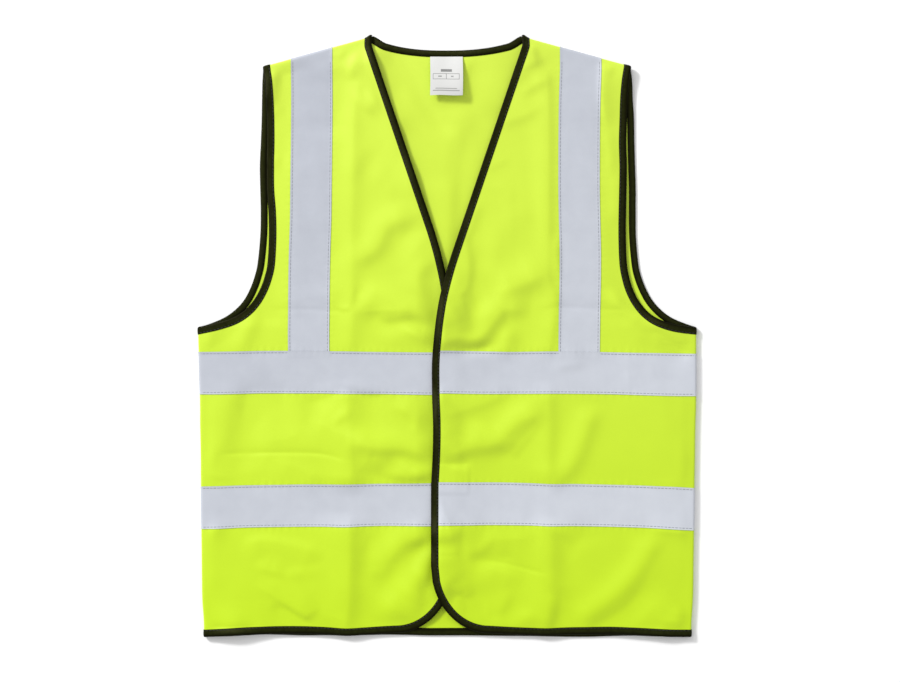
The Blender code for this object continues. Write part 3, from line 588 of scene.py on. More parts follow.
def waves(face, x, y):
    """Soft waves of slack cloth, the same on each run."""
    source = np.random.RandomState(WAVE_SEEDS[face])
    height = np.zeros(x.shape)
    for _ in range(WAVE_COUNT):
        length = source.uniform(*WAVE_LENGTHS)
        angle, phase = source.uniform(0, 2 * math.pi, 2)
        along = x * math.cos(angle) + y * math.sin(angle)
        height += WAVE_STEEPNESS * length * np.sin(2 * math.pi * along / length + phase)
    return height


def pucker(side, left, s, x, y):
    """Ripple of the cloth along the tapes' stitching."""
    height = np.zeros(s.shape)
    for name in list(LINES)[1:]:
        off = (y - line_y(name, side, left, s)) / PUCKER_REACH
        beat = np.sin(2 * math.pi * x / PUCKER_LENGTH + PUCKER_UNEVEN * np.sin(x / BAND_UNEVEN))
        height += PUCKER * beat * np.exp(-off * off)
    for edge in (-0.5, 0.5):
        off = (s - brace_s(left, y) - edge * BRACE_WIDTH) / PUCKER_REACH
        beat = np.sin(2 * math.pi * y / PUCKER_LENGTH + PUCKER_UNEVEN * np.sin(y / BRACE_UNEVEN))
        above = soft_step((y - LINES["upper_band_top"][0]) / BRACE_PUCKER_FADE)
        height += BRACE_PUCKER * PUCKER * beat * above * np.exp(-off * off)
    return height


def flap_lift(s, y):
    """Lift of the left front's edge where it lies over the right front."""
    inner = brace_s(True, y) - BRACE_WIDTH / 2
    share = (inner - s) / (inner - front_edge_s("left", y) - RIM)
    across = soft_step((share - FLAP_START) / FLAP_SPAN)
    down = 1 - soft_step((y - FLAP_TOP) / (FLAP_END - FLAP_TOP))
    return down * (FLAP_LIFT * across + RIM_LIFT * soft_step((RIM_S - s) / RIM_EASE))


def sink_front(side, left, s, y):
    """How far a front sinks onto the back along its hem and beside its armhole."""
    from_hem = (y - line_y("hem", side, left, s)) / HEM_DROP_REACH
    from_seam = (SIDE_S - HEM_DROP_START - s) / HEM_DROP_FADE
    hem = HEM_DROP * soft_step(from_seam) * soft_step(1 - from_hem)
    from_arm = (s - armhole_s("front", side, y)) / ARM_DROP_REACH
    ends = soft_step((y - ARM_DROP_LOW) / ARM_DROP_FADE)
    ends *= soft_step((shoulder_y(s) - y) / ARM_DROP_SHOULDER)
    return hem + ARM_DROP * soft_step(1 + from_arm) * ends


def stand_neckline(s, y):
    """How far the right front's neckline stands off the back."""
    from_edge = s - front_edge_s("right", y)
    ends = soft_step((y - NECKLINE_LIFT_LOW) / NECKLINE_LIFT_FADE)
    ends *= soft_step((shoulder_y(s) - y) / NECKLINE_SHOULDER)
    along = NECKLINE_LIFT * (1 - soft_step(from_edge / NECKLINE_LIFT_REACH))
    corner = NECK_CORNER_LIFT * (1 - soft_step(from_edge / NECK_CORNER_REACH))
    return ends * (along + corner * soft_step((y - NECK_CORNER_LOW) / NECK_CORNER_FADE))


def no_lower(height, lowest, knee):
    """Height kept above a lowest one, eased onto it over a knee."""
    over = height - lowest
    return lowest + 0.5 * (over + np.sqrt(over * over + knee))


def lift_of(side, left, s, y):
    """Height of the cloth over its flat place: creases, waves, puckers and overlap."""
    x = np.where(left, s, -s)
    height = waves("back" if side == "back" else "front", x, y) + pucker(side, left, s, x, y)
    for crease in CREASES[side]:
        height += crease_rise(*crease, x, y)
    if side == "left":
        for x1, y1, x2, y2, rise in IMPRINTS:
            for distance in (x - x1, x2 - x, y - y1, y2 - y):
                rise = rise * soft_step(distance / IMPRINT_EDGE)
            height += rise
    height *= soft_step((shoulder_y(s) - y) / SEAM_FADE)
    for stand_x, stand_y, rise, half_width in STANDS[side]:
        height += rise * np.exp(-((x - stand_x) ** 2 + (y - stand_y) ** 2) / half_width ** 2)
    height *= soft_step((SIDE_S - s) / SEAM_FADE)
    if side == "back":
        return no_lower(height, BACK_LOWEST, BACK_KNEE)
    height = no_lower(height - sink_front(side, left, s, y), FRONT_LOWEST, FRONT_KNEE)
    if side == "right":
        covered = 1 - soft_step((s - COVERED_S) / COVERED_FADE)
        covered *= 1 - soft_step((y - COVERED_TOP) / COVERED_TOP_FADE)
        return (height + stand_neckline(s, y)) * (1 - covered)
    over = soft_step((RIM_S - s) / RIM_FADE) * (1 - soft_step((y - RIM_TOP) / RIM_TOP_FADE))
    return lerp(height, np.maximum(height, RIM_LOWEST), over) + flap_lift(s, y)


def turned(beyond, out):
    """Reach and drop of places beyond the line where a seam folds them over."""
    angle = np.clip(beyond, 0.0, TURN_ARC) / SEAM_RADIUS
    straight = np.maximum(beyond - TURN_ARC, 0.0)
    radius = SEAM_RADIUS + out
    return radius * np.sin(angle), radius * (1 - np.cos(angle)) + straight


def place(side, left, s, y, out, lift):
    """Lay flat places on the table, turned over at the seams, as an array of X, Y and Z."""
    face = "back" if side == "back" else "front"
    over_shoulder = np.maximum(y - shoulder_y(s), 0.0) * math.cos(SHOULDER_ANGLE)
    side_reach, side_drop = turned(np.maximum(s - SIDE_S, 0.0), out)
    shoulder_reach, shoulder_drop = turned(over_shoulder, out)
    pull = over_shoulder - shoulder_reach
    laid_s = np.minimum(s, SIDE_S) + side_reach - pull * math.sin(SHOULDER_ANGLE)
    laid_y = y - pull * math.cos(SHOULDER_ANGLE)
    laid_s = laid_s * (1 - on_half(DRAWN_CURVES, left, y) / SIDE_S)
    drop = side_drop + shoulder_drop - out
    z = BACK_Z + drop if face == "back" else FRONT_Z - drop
    return np.stack([np.where(left, laid_s, -laid_s), laid_y, z + lift], axis=-1) * MM


# ---------------------------------------------------------------- lattice of a panel

def in_steps(zones, side):
    """List each cut of a lattice as side, zone and share of the zone."""
    first, cells = zones[0]
    cuts = [(side, first, k / cells) for k in range(cells + 1)]
    for zone, cells in zones[1:]:
        cuts += [(side, zone, k / cells) for k in range(1, cells + 1)]
    return cuts


def column_s(face, column, y):
    """Distance of a column of the lattice at heights y."""
    side, zone, share = column
    arm = armhole_s(face, side, y)
    outer = brace_s(side == "left", y) + BRACE_WIDTH / 2
    inner = outer - BRACE_WIDTH
    if zone == "turn":
        return SIDE_S + (1 - share) * TURN_LENGTH + 0 * y
    if zone == "underarm":
        return arm + (SIDE_S - arm) * (1 - math.sin(share * math.pi / 2))
    if zone == "strap":
        return lerp(arm, outer, share)
    if zone == "brace":
        return lerp(outer, inner, share)
    if zone == "nape":
        return lerp(inner, NECK_S, share)
    if zone == "scoop":
        return NECK_S * (1 - share) + 0 * y
    edge = front_edge_s(side, y)
    return lerp(inner, edge + RIM, share) if zone == "body" else lerp(edge + RIM, edge, share)


def row_y(side, row, left, under_arm, s):
    """Height of a row of the lattice at distances s."""
    face = "back" if side == "back" else "front"
    _, zone, share = row
    if zone == "turn":
        return top_y(face, s) + share * TURN_LENGTH / math.cos(SHOULDER_ANGLE)
    chest_top = np.where(under_arm, armhole_y(face, left, s), CHEST_TOP)
    low, high = {
        "skirt": (hem_y(side, left, s), line_y("lower_band_bottom", side, left, s)),
        "lower_band": [line_y(f"lower_band_{end}", side, left, s) for end in ("bottom", "top")],
        "waist": [line_y(name, side, left, s) for name in ("lower_band_top",
                                                           "upper_band_bottom")],
        "upper_band": [line_y(f"upper_band_{end}", side, left, s) for end in ("bottom", "top")],
        "chest": (line_y("upper_band_top", side, left, s), chest_top),
        "yoke": (np.full(s.shape, CHEST_TOP), top_y(face, s)),
    }[zone]
    return lerp(low, high, share)


class Lattice:
    """The flat places of one cut piece, in columns from side to side and rows from the hem."""

    def __init__(self, side):
        self.side = side
        self.face = "back" if side == "back" else "front"
        if side == "back":
            other_half = in_steps(BACK_COLUMNS, "left")[-2::-1]
            self.columns = in_steps(BACK_COLUMNS, "right") + other_half
            self.rows = in_steps(BACK_ROWS, "")
        else:
            self.columns = in_steps(FRONT_COLUMNS, side)
            self.rows = in_steps(FRONT_ROWS, "")
        self.left = np.array([column[0] == "left" for column in self.columns])
        outside = np.array([zone == "turn" or zone == "underarm" and share < 1
                            for _, zone, share in self.columns])
        under_arm = np.array([zone in ("turn", "underarm") for _, zone, _ in self.columns])
        over_neck = np.array([zone == "scoop" for _, zone, _ in self.columns])
        upper = np.array([zone in ("yoke", "turn") for _, zone, _ in self.rows])
        folded = np.array([zone == "turn" for _, zone, _ in self.rows])
        self.is_cloth = ~(np.outer(outside, upper) | np.outer(over_neck, folded))
        self.s = np.zeros(self.is_cloth.shape)
        self.y = np.zeros(self.is_cloth.shape)
        for _ in range(16):
            for c, column in enumerate(self.columns):
                self.s[c] = column_s(self.face, column, self.y[c])
            for r, row in enumerate(self.rows):
                self.y[:, r] = row_y(side, row, self.left, under_arm, self.s[:, r])

    def column(self, zone, share, side=None):
        """Index of a named column."""
        return self.columns.index((side or self.side, zone, share))

    def row(self, zone, share):
        """Index of a named row."""
        return self.rows.index(("", zone, share))

    def row_span(self, *zones):
        """First and last row of some neighbouring zones, with the edge below them."""
        fits = [r for r, (_, zone, _) in enumerate(self.rows) if zone in zones]
        return max(fits[0] - 1, 0), fits[-1]

    def places(self, columns, rows, out=0.0):
        """Laid places of a stretch of the lattice, out from the middle of the cloth."""
        part = np.ix_(range(columns[0], columns[1] + 1), range(rows[0], rows[1] + 1))
        s, y = self.s[part], self.y[part]
        left = np.broadcast_to(self.left[part[0]], s.shape)
        lift = lift_of(self.side, left, s, y)
        flat = np.stack([np.where(left, s, -s), y], axis=-1) * MM
        return place(self.side, left, s, y, out, lift), flat, self.is_cloth[part]


# ---------------------------------------------------------------- pieces

def add_piece(name, mesh, material, node):
    """Turn a bmesh in metres into a piece that rides on the vest and stands for a node."""
    for face in mesh.faces:
        face.smooth = True
    for edge in mesh.edges:
        edge.smooth = not edge.is_boundary and edge.calc_face_angle(0.0) < SHARP_ANGLE
    data = bpy.data.meshes.new(name)
    mesh.to_mesh(data)
    mesh.free()
    data.materials.append(material)
    piece = bpy.data.objects.new(name, data)
    bpy.context.scene.collection.objects.link(piece)
    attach(piece, "root")
    if node:
        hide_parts(node)
    return piece


def grid_mesh(places, flat, kept):
    """A grid laid in its places, cut away where there is no cloth, with its flat shape as UV."""
    wide, high = kept.shape
    mesh = bmesh.new()
    bmesh.ops.create_grid(mesh, x_segments=wide - 1, y_segments=high - 1, size=0.5)
    layer = mesh.loops.layers.uv.new("Flat")
    places, flat, kept = (array.swapaxes(0, 1).reshape(wide * high, -1)
                          for array in (places, flat, kept))
    mesh.verts.ensure_lookup_table()
    for vertex, co in zip(mesh.verts, places.tolist()):
        vertex.co = co
    flat = flat.tolist()
    for face in mesh.faces:
        for loop in face.loops:
            loop[layer].uv = flat[loop.vert.index]
    outside = [vertex for vertex in mesh.verts if not kept[vertex.index][0]]
    bmesh.ops.delete(mesh, geom=outside, context="VERTS")
    return mesh


def thicken(piece, wall):
    """Give an open sheet its wall, half to each side."""
    solidify = piece.modifiers.new("Wall", "SOLIDIFY")
    solidify.thickness = wall * MM
    solidify.offset = 0.0
    solidify.use_even_offset = True
    return piece


def flat_area(mesh):
    """Area of a piece's flat shape."""
    layer = mesh.loops.layers.uv.active
    total = 0.0
    for face in mesh.faces:
        corners = [loop[layer].uv for loop in face.loops]
        total += abs(sum(a.cross(b) for a, b in zip(corners, corners[1:] + corners[:1]))) / 2
    return total


def flat_size(flat):
    """Width and length of a piece's flat shape."""
    return tuple(float(span) for span in np.ptp(flat.reshape(-1, 2), axis=0))


def add_panel(name, lattice, material):
    """One panel of cloth."""
    whole = (0, len(lattice.columns) - 1), (0, len(lattice.rows) - 1)
    places, flat, kept = lattice.places(*whole)
    mesh = grid_mesh(places, flat, kept)
    area = flat_area(mesh)
    panel = thicken(add_piece(f"cloth_{name}", mesh, material, name), CLOTH_WALL)
    return panel, flat_size(flat[kept]), area


def tape_out(cells):
    """Height of tape over the cloth: pulled down at its stitches, with its edges standing up."""
    edge = np.minimum(np.arange(cells + 1), cells - np.arange(cells + 1))
    return TAPE_OUT + TAPE_CROWN * soft_step((edge - 1) / CROWN_CELLS) + EDGE_STAND * (edge == 0)


def foot_rows(lattice):
    """Rows of the upper band that lie over the foot of a brace."""
    first, last = lattice.row_span("upper_band")
    return max(1, round(BRACE_FOOT * (last - first) / BRACE_WIDTH))


def over_feet(lattice, columns, rows):
    """Rise of the upper band where it lies over the feet of the braces."""
    in_brace = np.array([zone == "brace" or (zone, share) == ("strap", 1.0)
                         for _, zone, share in lattice.columns[columns[0]:columns[1] + 1]])
    from_top = rows[1] - np.arange(rows[0], rows[1] + 1)
    on_foot = soft_step((foot_rows(lattice) + FOOT_EASE - from_top) / FOOT_EASE)
    return (TAPE_WALL + FOOT_GAP) * in_brace[:, None] * on_foot[None, :]


def add_tape(name, lattice, columns, rows, across, material):
    """Reflective tape over a stretch of a panel; across is the axis that crosses it."""
    first, last = (columns, rows)[across]
    out = tape_out(last - first)
    out = out[None, :] if across else out[:, None]
    if name.startswith("band_upper"):
        out = out + over_feet(lattice, columns, rows)
    places, flat, kept = lattice.places(columns, rows, out=out)
    share = np.linspace(0.0, 1.0, last - first + 1)
    width = BRACE_WIDTH * MM * (share if across else share[:, None])
    flat = np.stack([flat[..., 1 - across], np.broadcast_to(width, kept.shape)], axis=-1)
    mesh = grid_mesh(places, flat, kept)
    area = flat_area(mesh)
    tape = thicken(add_piece(f"sewn_{name}", mesh, material, name), TAPE_WALL)
    return tape, flat_size(flat), area


# Section of a folded binding: distance into the cloth, and height over its middle
HALF_SECTION = (
    (6.7, 0.48), (7.5, 0.5), (7.58, 0.74), (7.3, 0.88), (6.2, 1.0), (4.7, 1.12), (3.0, 1.2),
    (1.4, 1.18), (0.2, 1.04), (-0.7, 0.78), (-1.25, 0.42),
)
FOLD = len(HALF_SECTION)                # which place of the section is on the fold
BINDING_SECTION = np.array(
    HALF_SECTION + ((-1.42, 0.0),)
    + tuple((reach, -height) for reach, height in HALF_SECTION[::-1])
    + ((-0.35, -0.44), (-0.35, 0.44), HALF_SECTION[0]))
SQUARE_REACH = 14.0                     # of the side seam, where a binding turns square to it
SHOULDER_REACH = 18.0                   # of the shoulder, where it turns along the seam
FAN = 6                                 # extra sections round a corner of the neck


def edge_stretch(lattice, crossings, cloth_on, fold=True):
    """Places along an edge of a panel, and the way into the cloth at each.

    cloth_on is 1 where the cloth is on the left of the way along the edge and -1 on the right.
    """
    columns, rows = (np.array(index) for index in zip(*crossings))
    s, y, left = lattice.s[columns, rows], lattice.y[columns, rows], lattice.left[columns]
    flat = np.stack([np.where(left, s, -s), y], axis=-1)
    along = np.gradient(flat, axis=0)
    inward = cloth_on * np.stack([-along[:, 1], along[:, 0]], axis=-1)
    inward /= np.linalg.norm(inward, axis=1)[:, None]
    square = np.stack([0 * s, np.sign(inward[:, 1])], axis=-1)
    inward = lerp(inward, square, soft_step((s - SIDE_S + SQUARE_REACH) / SQUARE_REACH)[:, None])
    if fold:
        out_x = np.where(left, 1.0, -1.0)
        along_seam = np.stack([out_x * math.cos(SHOULDER_ANGLE),
                               np.full(s.shape, -math.sin(SHOULDER_ANGLE))], axis=-1)
        along_seam *= np.sign((along_seam * inward).sum(axis=1))[:, None]
        near = soft_step((y - shoulder_y(s) + SHOULDER_REACH) / SHOULDER_REACH)
        inward = lerp(inward, along_seam, near[:, None])
    return lattice, flat, inward / np.linalg.norm(inward, axis=1)[:, None]


def halves_of(side, spots):
    """Whether each flat place is on the left half, and its distance from the middle."""
    x = spots[..., 0]
    left = x > 0 if side == "back" else np.full(x.shape, side == "left")
    return left, np.where(left, x, -x)


def binding_sections(lattice, flat, inward):
    """Laid places of the binding's section at each place of a stretch."""
    side = lattice.side
    reach, height = BINDING_SECTION.T
    reach = np.repeat(reach[None, :], len(flat), axis=0)
    if side == "back":
        from_shoulder = (shoulder_y(abs(flat[:, 0])) - flat[:, 1]) / BACK_LESS_REACH
        less = BACK_LESS * (soft_step(from_shoulder) * (flat[:, 1] > 0))[:, None]
        reach = np.where(reach > 0, reach * (1 - less), reach)
    spots = flat[:, None, :] + inward[:, None, :] * reach[..., None]
    inside = flat[:, None, :] + inward[:, None, :] * np.maximum(reach, 0.0)[..., None]
    lift = lift_of(side, *halves_of(side, inside), inside[..., 1])
    return place(side, *halves_of(side, spots), spots[..., 1], height[None, :], lift)


def add_binding(name, stretches, material, ring=False):
    """Folded tape along an edge: a U in section that holds the cloth between its walls."""
    run = []
    for lattice, flat, inward in stretches:
        if run and run[-1][0] is lattice:
            before, after = run[-1][2][-1], inward[0]
            turn = np.array([lerp(before, after, k / FAN) for k in range(1, FAN)])
            turn /= np.linalg.norm(turn, axis=1)[:, None]
            run.append((lattice, np.repeat(flat[:1], FAN - 1, axis=0), turn))
        run.append((lattice, flat, inward))
    places = np.concatenate([binding_sections(*stretch) for stretch in run])
    if ring:
        places[-1] = places[0]
    length = np.linalg.norm(np.diff(places[:, FOLD], axis=0), axis=1)
    girth = np.linalg.norm(np.diff(BINDING_SECTION, axis=0), axis=1) * MM
    along, around = (np.concatenate([[0.0], np.cumsum(steps)]) for steps in (length, girth))
    flat = np.stack(np.meshgrid(along, around, indexing="ij"), axis=-1)
    mesh = grid_mesh(places, flat, np.ones(places.shape[:2], dtype=bool))
    bmesh.ops.remove_doubles(mesh, verts=mesh.verts[:], dist=1e-6)
    open_edges = [edge for edge in mesh.edges if edge.is_boundary]
    if open_edges:
        bmesh.ops.holes_fill(mesh, edges=open_edges, sides=0)
    bmesh.ops.recalc_face_normals(mesh, faces=mesh.faces[:])
    cut = (float(along[-1]), float(around[-1]) / 2)     # the section runs out and back
    return add_piece(f"folded_{name}", mesh, material, name), cut


def armhole_stretches(front, back, side):
    """From the front's side seam round the armhole, over the shoulder, to the back's seam."""
    stretches = []
    for lattice in (front, back):
        arm, seam = lattice.column("underarm", 1.0, side), lattice.column("turn", 0.0, side)
        step = 1 if seam < arm else -1
        chest = lattice.row("chest", 1.0)
        crossings = [(c, chest) for c in range(seam, arm, step)]
        crossings += [(arm, r) for r in range(chest, len(lattice.rows))]
        cloth_on = -1 if side == "right" else 1
        if lattice is back:
            crossings, cloth_on = crossings[::-1], -cloth_on
        stretches.append(edge_stretch(lattice, crossings, cloth_on))
    return stretches


def front_edge_stretches(front):
    """From the side seam along the hem, up the open edge and the neckline to the shoulder."""
    last = len(front.columns) - 1
    crossings = [(c, 0) for c in range(last)] + [(last, r) for r in range(len(front.rows))]
    return [edge_stretch(front, crossings, 1 if front.side == "right" else -1)]


def neck_stretches(back):
    """Across the back neck from shoulder seam to shoulder seam."""
    right, left = (back.column("nape", 1.0, side) for side in ("right", "left"))
    fold, end = back.row("yoke", 1.0), len(back.rows)
    down = edge_stretch(back, [(right, r) for r in range(end - 1, fold - 1, -1)], -1)
    across = edge_stretch(back, [(c, fold) for c in range(right, left + 1)], -1, fold=False)
    up = edge_stretch(back, [(left, r) for r in range(fold, end)], -1)
    return [down, across, up]


def add_label(material):
    """Small woven label under the neck binding, its free end curling up."""
    mesh = bmesh.new()
    bmesh.ops.create_grid(mesh, x_segments=LABEL_CELLS[0], y_segments=LABEL_CELLS[1], size=0.5)
    layer = mesh.loops.layers.uv.new("Flat")
    for face in mesh.faces:
        for loop in face.loops:
            loop[layer].uv = (loop.vert.co.x + 0.5, loop.vert.co.y + 0.5)
    for vertex in mesh.verts:
        across, down = vertex.co.x + 0.5, 0.5 - vertex.co.y
        x = lerp(LABEL_LEFT, LABEL_RIGHT, across)
        y = lerp(LABEL_TOP, LABEL_BOTTOM, down)
        sag = LABEL_SAG * math.sin(LABEL_SAG_TURN * across + LABEL_SAG_SHIFT) * (1 - down) ** 2
        curl = LABEL_CURL * (1 - (1 - down) ** LABEL_CURL_POWER)
        curl *= LABEL_TILT[0] - LABEL_TILT[1] * across
        under = float(lift_of("back", np.array([x > 0]), np.array([abs(x)]), np.array([y]))[0])
        (aside, aside_turn), (along, along_turn) = LABEL_WARP
        vertex.co = Vector((x + aside * math.sin(aside_turn * down),
                            y + along * math.sin(along_turn * across) * down,
                            BACK_Z + under + LABEL_OUT + sag + curl)) * MM
    size = ((LABEL_RIGHT - LABEL_LEFT) * MM, (LABEL_TOP - LABEL_BOTTOM) * MM)
    label = add_piece("woven_label", mesh, material, "label")
    return thicken(label, LABEL_WALL), size


# ---------------------------------------------------------------- stitches

def stitch_mesh(lines):
    """Short round-ended stitches in rows; each line is an array of laid places along its row."""
    one = bmesh.new()
    bmesh.ops.create_cone(one, cap_ends=True, segments=6, radius1=1, radius2=1, depth=2)
    ends = [edge for edge in one.edges if len({round(v.co.z) for v in edge.verts}) == 1]
    bmesh.ops.bevel(one, geom=ends, offset=STITCH_ROUNDING, segments=1, affect="EDGES",
                    profile=0.5, material=-1)
    bmesh.ops.rotate(one, verts=one.verts[:], matrix=Matrix.Rotation(math.pi / 2, 3, "Y"))
    template = bpy.data.meshes.new("stitch")
    one.to_mesh(template)
    shape = np.array([vertex.co for vertex in one.verts])
    one.free()

    mesh = bmesh.new()
    laid = []
    for line in lines:
        steps = np.linalg.norm(np.diff(line, axis=0), axis=1)
        run = np.concatenate([[0.0], np.cumsum(steps)])
        for start in np.arange(FIRST_STITCH, run[-1] / MM - STITCH_LENGTH, STITCH_PITCH) * MM:
            first, last = (Vector([np.interp(at, run, line[:, axis]) for axis in range(3)])
                           for at in (start, start + STITCH_LENGTH * MM))
            along = last - first
            turn = np.array(along.to_track_quat("X", "Z").to_matrix())
            size = (along.length / 2, THREAD * MM / 2, THREAD * MM / 3)
            laid.append((shape * size) @ turn.T + np.array((first + last) / 2))
            mesh.from_mesh(template)
    for vertex, co in zip(mesh.verts, np.concatenate(laid).tolist()):
        vertex.co = co
    bpy.data.meshes.remove(template)
    return mesh


def row_places(side, left, s, y, out):
    """Laid places along a row of stitches."""
    left = np.broadcast_to(left, s.shape)
    return place(side, left, s, y, out, lift_of(side, left, s, y))


def tape_rows(side, left):
    """Rows of stitches along both edges of every tape on one half of a panel."""
    out = TAPE_OUT + TAPE_WALL / 2 + 0.02
    lines = []
    for band in ("lower_band", "upper_band"):
        for end, inset in (("bottom", STITCH_INSET), ("top", -STITCH_INSET)):
            start = 0.0 if side == "back" else BINDING_REACH + BAND_ROW_GAP - REACH[side]
            s = np.arange(start, SIDE_S + TURN_LENGTH, ROW_STEP)
            y = line_y(f"{band}_{end}", side, left, s) + inset
            lines.append(row_places(side, left, s, y, out))
    foot = LINES["upper_band_top"][0] + BRACE_ROW_GAP
    for inset in (-1, 1):
        y = np.arange(foot, BRACE_ROW_TOP, ROW_STEP)
        s = brace_s(left, y) + inset * (BRACE_WIDTH / 2 - STITCH_INSET)
        keep = y < shoulder_y(s) + TURN_LENGTH
        lines.append(row_places(side, left, s[keep], y[keep], out))
    return lines


def binding_rows(stretches):
    """The row of stitches along a binding's inner edge."""
    lines = []
    for lattice, flat, inward in stretches:
        spots = flat + inward * (BINDING_REACH - BINDING_STITCH_INSET)
        left, s = halves_of(lattice.side, spots)
        lines.append(row_places(lattice.side, left, s, spots[:, 1], BINDING_STITCH_OUT))
    return lines


# ---------------------------------------------------------------- materials

def from_hex(colour):
    """Linear colour of an sRGB hex value."""
    parts = [int(colour[k:k + 2], 16) / 255 for k in (1, 3, 5)]
    return [part / 12.92 if part <= 0.04045 else ((part + 0.055) / 1.055) ** 2.4
            for part in parts] + [1.0]


def fill_inputs(tree, node, inputs):
    """Give a node values or links for its inputs."""
    for key, value in inputs.items():
        if isinstance(value, bpy.types.NodeSocket):
            tree.links.new(value, node.inputs[key])
        else:
            node.inputs[key].default_value = value


def add_node(tree, kind, inputs, **settings):
    """Add a node with its settings, and values or links for its inputs."""
    node = tree.nodes.new("ShaderNode" + kind)
    for name, value in settings.items():
        setattr(node, name, value)
    fill_inputs(tree, node, inputs)
    return node


def start_material(name, **sockets):
    """A new material, its node tree, and its shader with the settings that are the same all over.
    """
    material = bpy.data.materials.new(name)
    material.use_nodes = True
    tree = material.node_tree
    shader = tree.nodes["Principled BSDF"]
    for socket, value in sockets.items():
        shader.inputs[socket.replace("_", " ")].default_value = value
    return material, tree, shader


def lumps(size):
    """Scale of a noise with lumps this many millimetres across, on a pattern in metres."""
    return round(1 / (size * MM), 1)


def bands(spacing):
    """Scale of a wave with bands this many millimetres apart, on a pattern in metres."""
    return round(math.pi / 10 / (spacing * MM), 1)


def knitted_polyester():
    """Warp-knitted fluorescent polyester: matt, with a fine grain, faint uneven dye and painted
    light.
    """
    material, tree, shader = start_material(
        "knitted_polyester", Roughness=0.55, Specular_IOR_Level=0.4, Sheen_Weight=0.1,
        Sheen_Roughness=0.5)
    flat = add_node(tree, "UVMap", {}, uv_map="Flat").outputs["UV"]
    place_on = add_node(tree, "TexCoord", {}).outputs["Object"]
    # faint uneven dye in patches 36 mm across, and a grain of 1.6 mm
    dye = add_node(tree, "TexNoise", {"Vector": flat, "Scale": lumps(35.7), "Detail": 3.0})
    grain = add_node(tree, "TexNoise", {"Vector": flat, "Scale": lumps(1.613), "Detail": 1.0})
    both = add_node(tree, "Math", {0: dye.outputs["Fac"], 1: grain.outputs["Fac"]},
                    operation="ADD")
    amount = add_node(tree, "Math", {0: both.outputs[0], 1: 0.5}, operation="MULTIPLY")
    # painted light: a little paler towards the shoulders, as if more lit there
    height = add_node(tree, "SeparateXYZ", {0: place_on}).outputs["Y"]
    fade = add_node(tree, "MapRange", {"Value": height, "From Min": -0.34, "From Max": 0.34})
    # painted light: the deeper pair lies at the hem, the paler, more lit pair at the shoulders
    painted_light_tones = [add_node(tree, "Mix", {0: amount.outputs[0], 6: from_hex(dull), 7: from_hex(bright)},
                       data_type="RGBA").outputs[2]
              for dull, bright in (("#B9DA08", "#C3E40C"), ("#C2DB3A", "#CCE542"))]
    colour = add_node(tree, "Mix", {0: fade.outputs[0], 6: painted_light_tones[0], 7: painted_light_tones[1]},
                      data_type="RGBA")
    # wales 0.9 mm apart, as on a 28-gauge knit; courses are often 0.5 mm, drawn coarser to show
    wales = add_node(tree, "TexWave", {"Vector": flat, "Scale": bands(0.8976)},
                     bands_direction="X")
    courses = add_node(tree, "TexWave", {"Vector": flat, "Scale": bands(0.748)},
                       bands_direction="Y")
    knit = add_node(tree, "Math", {0: wales.outputs["Fac"], 1: courses.outputs["Fac"]},
                    operation="MULTIPLY")
    bump = add_node(tree, "Bump", {"Height": knit.outputs[0], "Strength": 0.25,
                                   "Distance": 0.15 * MM})
    fill_inputs(tree, shader, {"Base Color": colour.outputs[2], "Normal": bump.outputs["Normal"]})
    return material


def reflective_tape():
    """Tape coated with tiny glass beads: silver-grey and satin, with a thread showing through and
    painted light.
    """
    material, tree, shader = start_material("reflective_tape", Roughness=0.5,
                                            Specular_IOR_Level=0.5)
    flat = add_node(tree, "UVMap", {}, uv_map="Flat").outputs["UV"]
    laid = add_node(tree, "SeparateXYZ", {0: add_node(tree, "TexCoord", {}).outputs["Object"]})
    # faint mottle in patches 17 mm across
    patchiness = add_node(tree, "TexNoise", {"Vector": flat, "Scale": lumps(16.67), "Detail": 4.0})
    # painted light: a little darker at the right shoulder than at the left side of the hem
    across = add_node(tree, "Math", {0: laid.outputs["X"], 1: 0.84}, operation="MULTIPLY")
    off = add_node(tree, "Math", {0: across.outputs[0], 1: laid.outputs["Y"]},
                   operation="SUBTRACT")
    fade = add_node(tree, "MapRange", {"Value": off.outputs[0], "From Min": -0.4,
                                       "From Max": 0.4})
    # painted light: the first two tones stand for the beads sending back less light, the last two
    # for more
    painted_light_tones = [add_node(tree, "Mix", {0: patchiness.outputs["Fac"], 6: from_hex(dull),
                                     7: from_hex(bright)}, data_type="RGBA").outputs[2]
              for dull, bright in (("#A8ACB6", "#B2B6C0"), ("#C0C4CD", "#CACED6"))]
    colour = add_node(tree, "Mix", {0: fade.outputs[0], 6: painted_light_tones[0], 7: painted_light_tones[1]},
                      data_type="RGBA")
    # threads are often 0.3 mm apart, drawn coarser to show
    threads = add_node(tree, "TexWave", {"Vector": flat, "Scale": bands(0.748)},
                       bands_direction="X")
    bump = add_node(tree, "Bump", {"Height": threads.outputs["Fac"], "Strength": 0.15,
                                   "Distance": 0.1 * MM})
    fill_inputs(tree, shader, {"Base Color": colour.outputs[2], "Normal": bump.outputs["Normal"]})
    return material


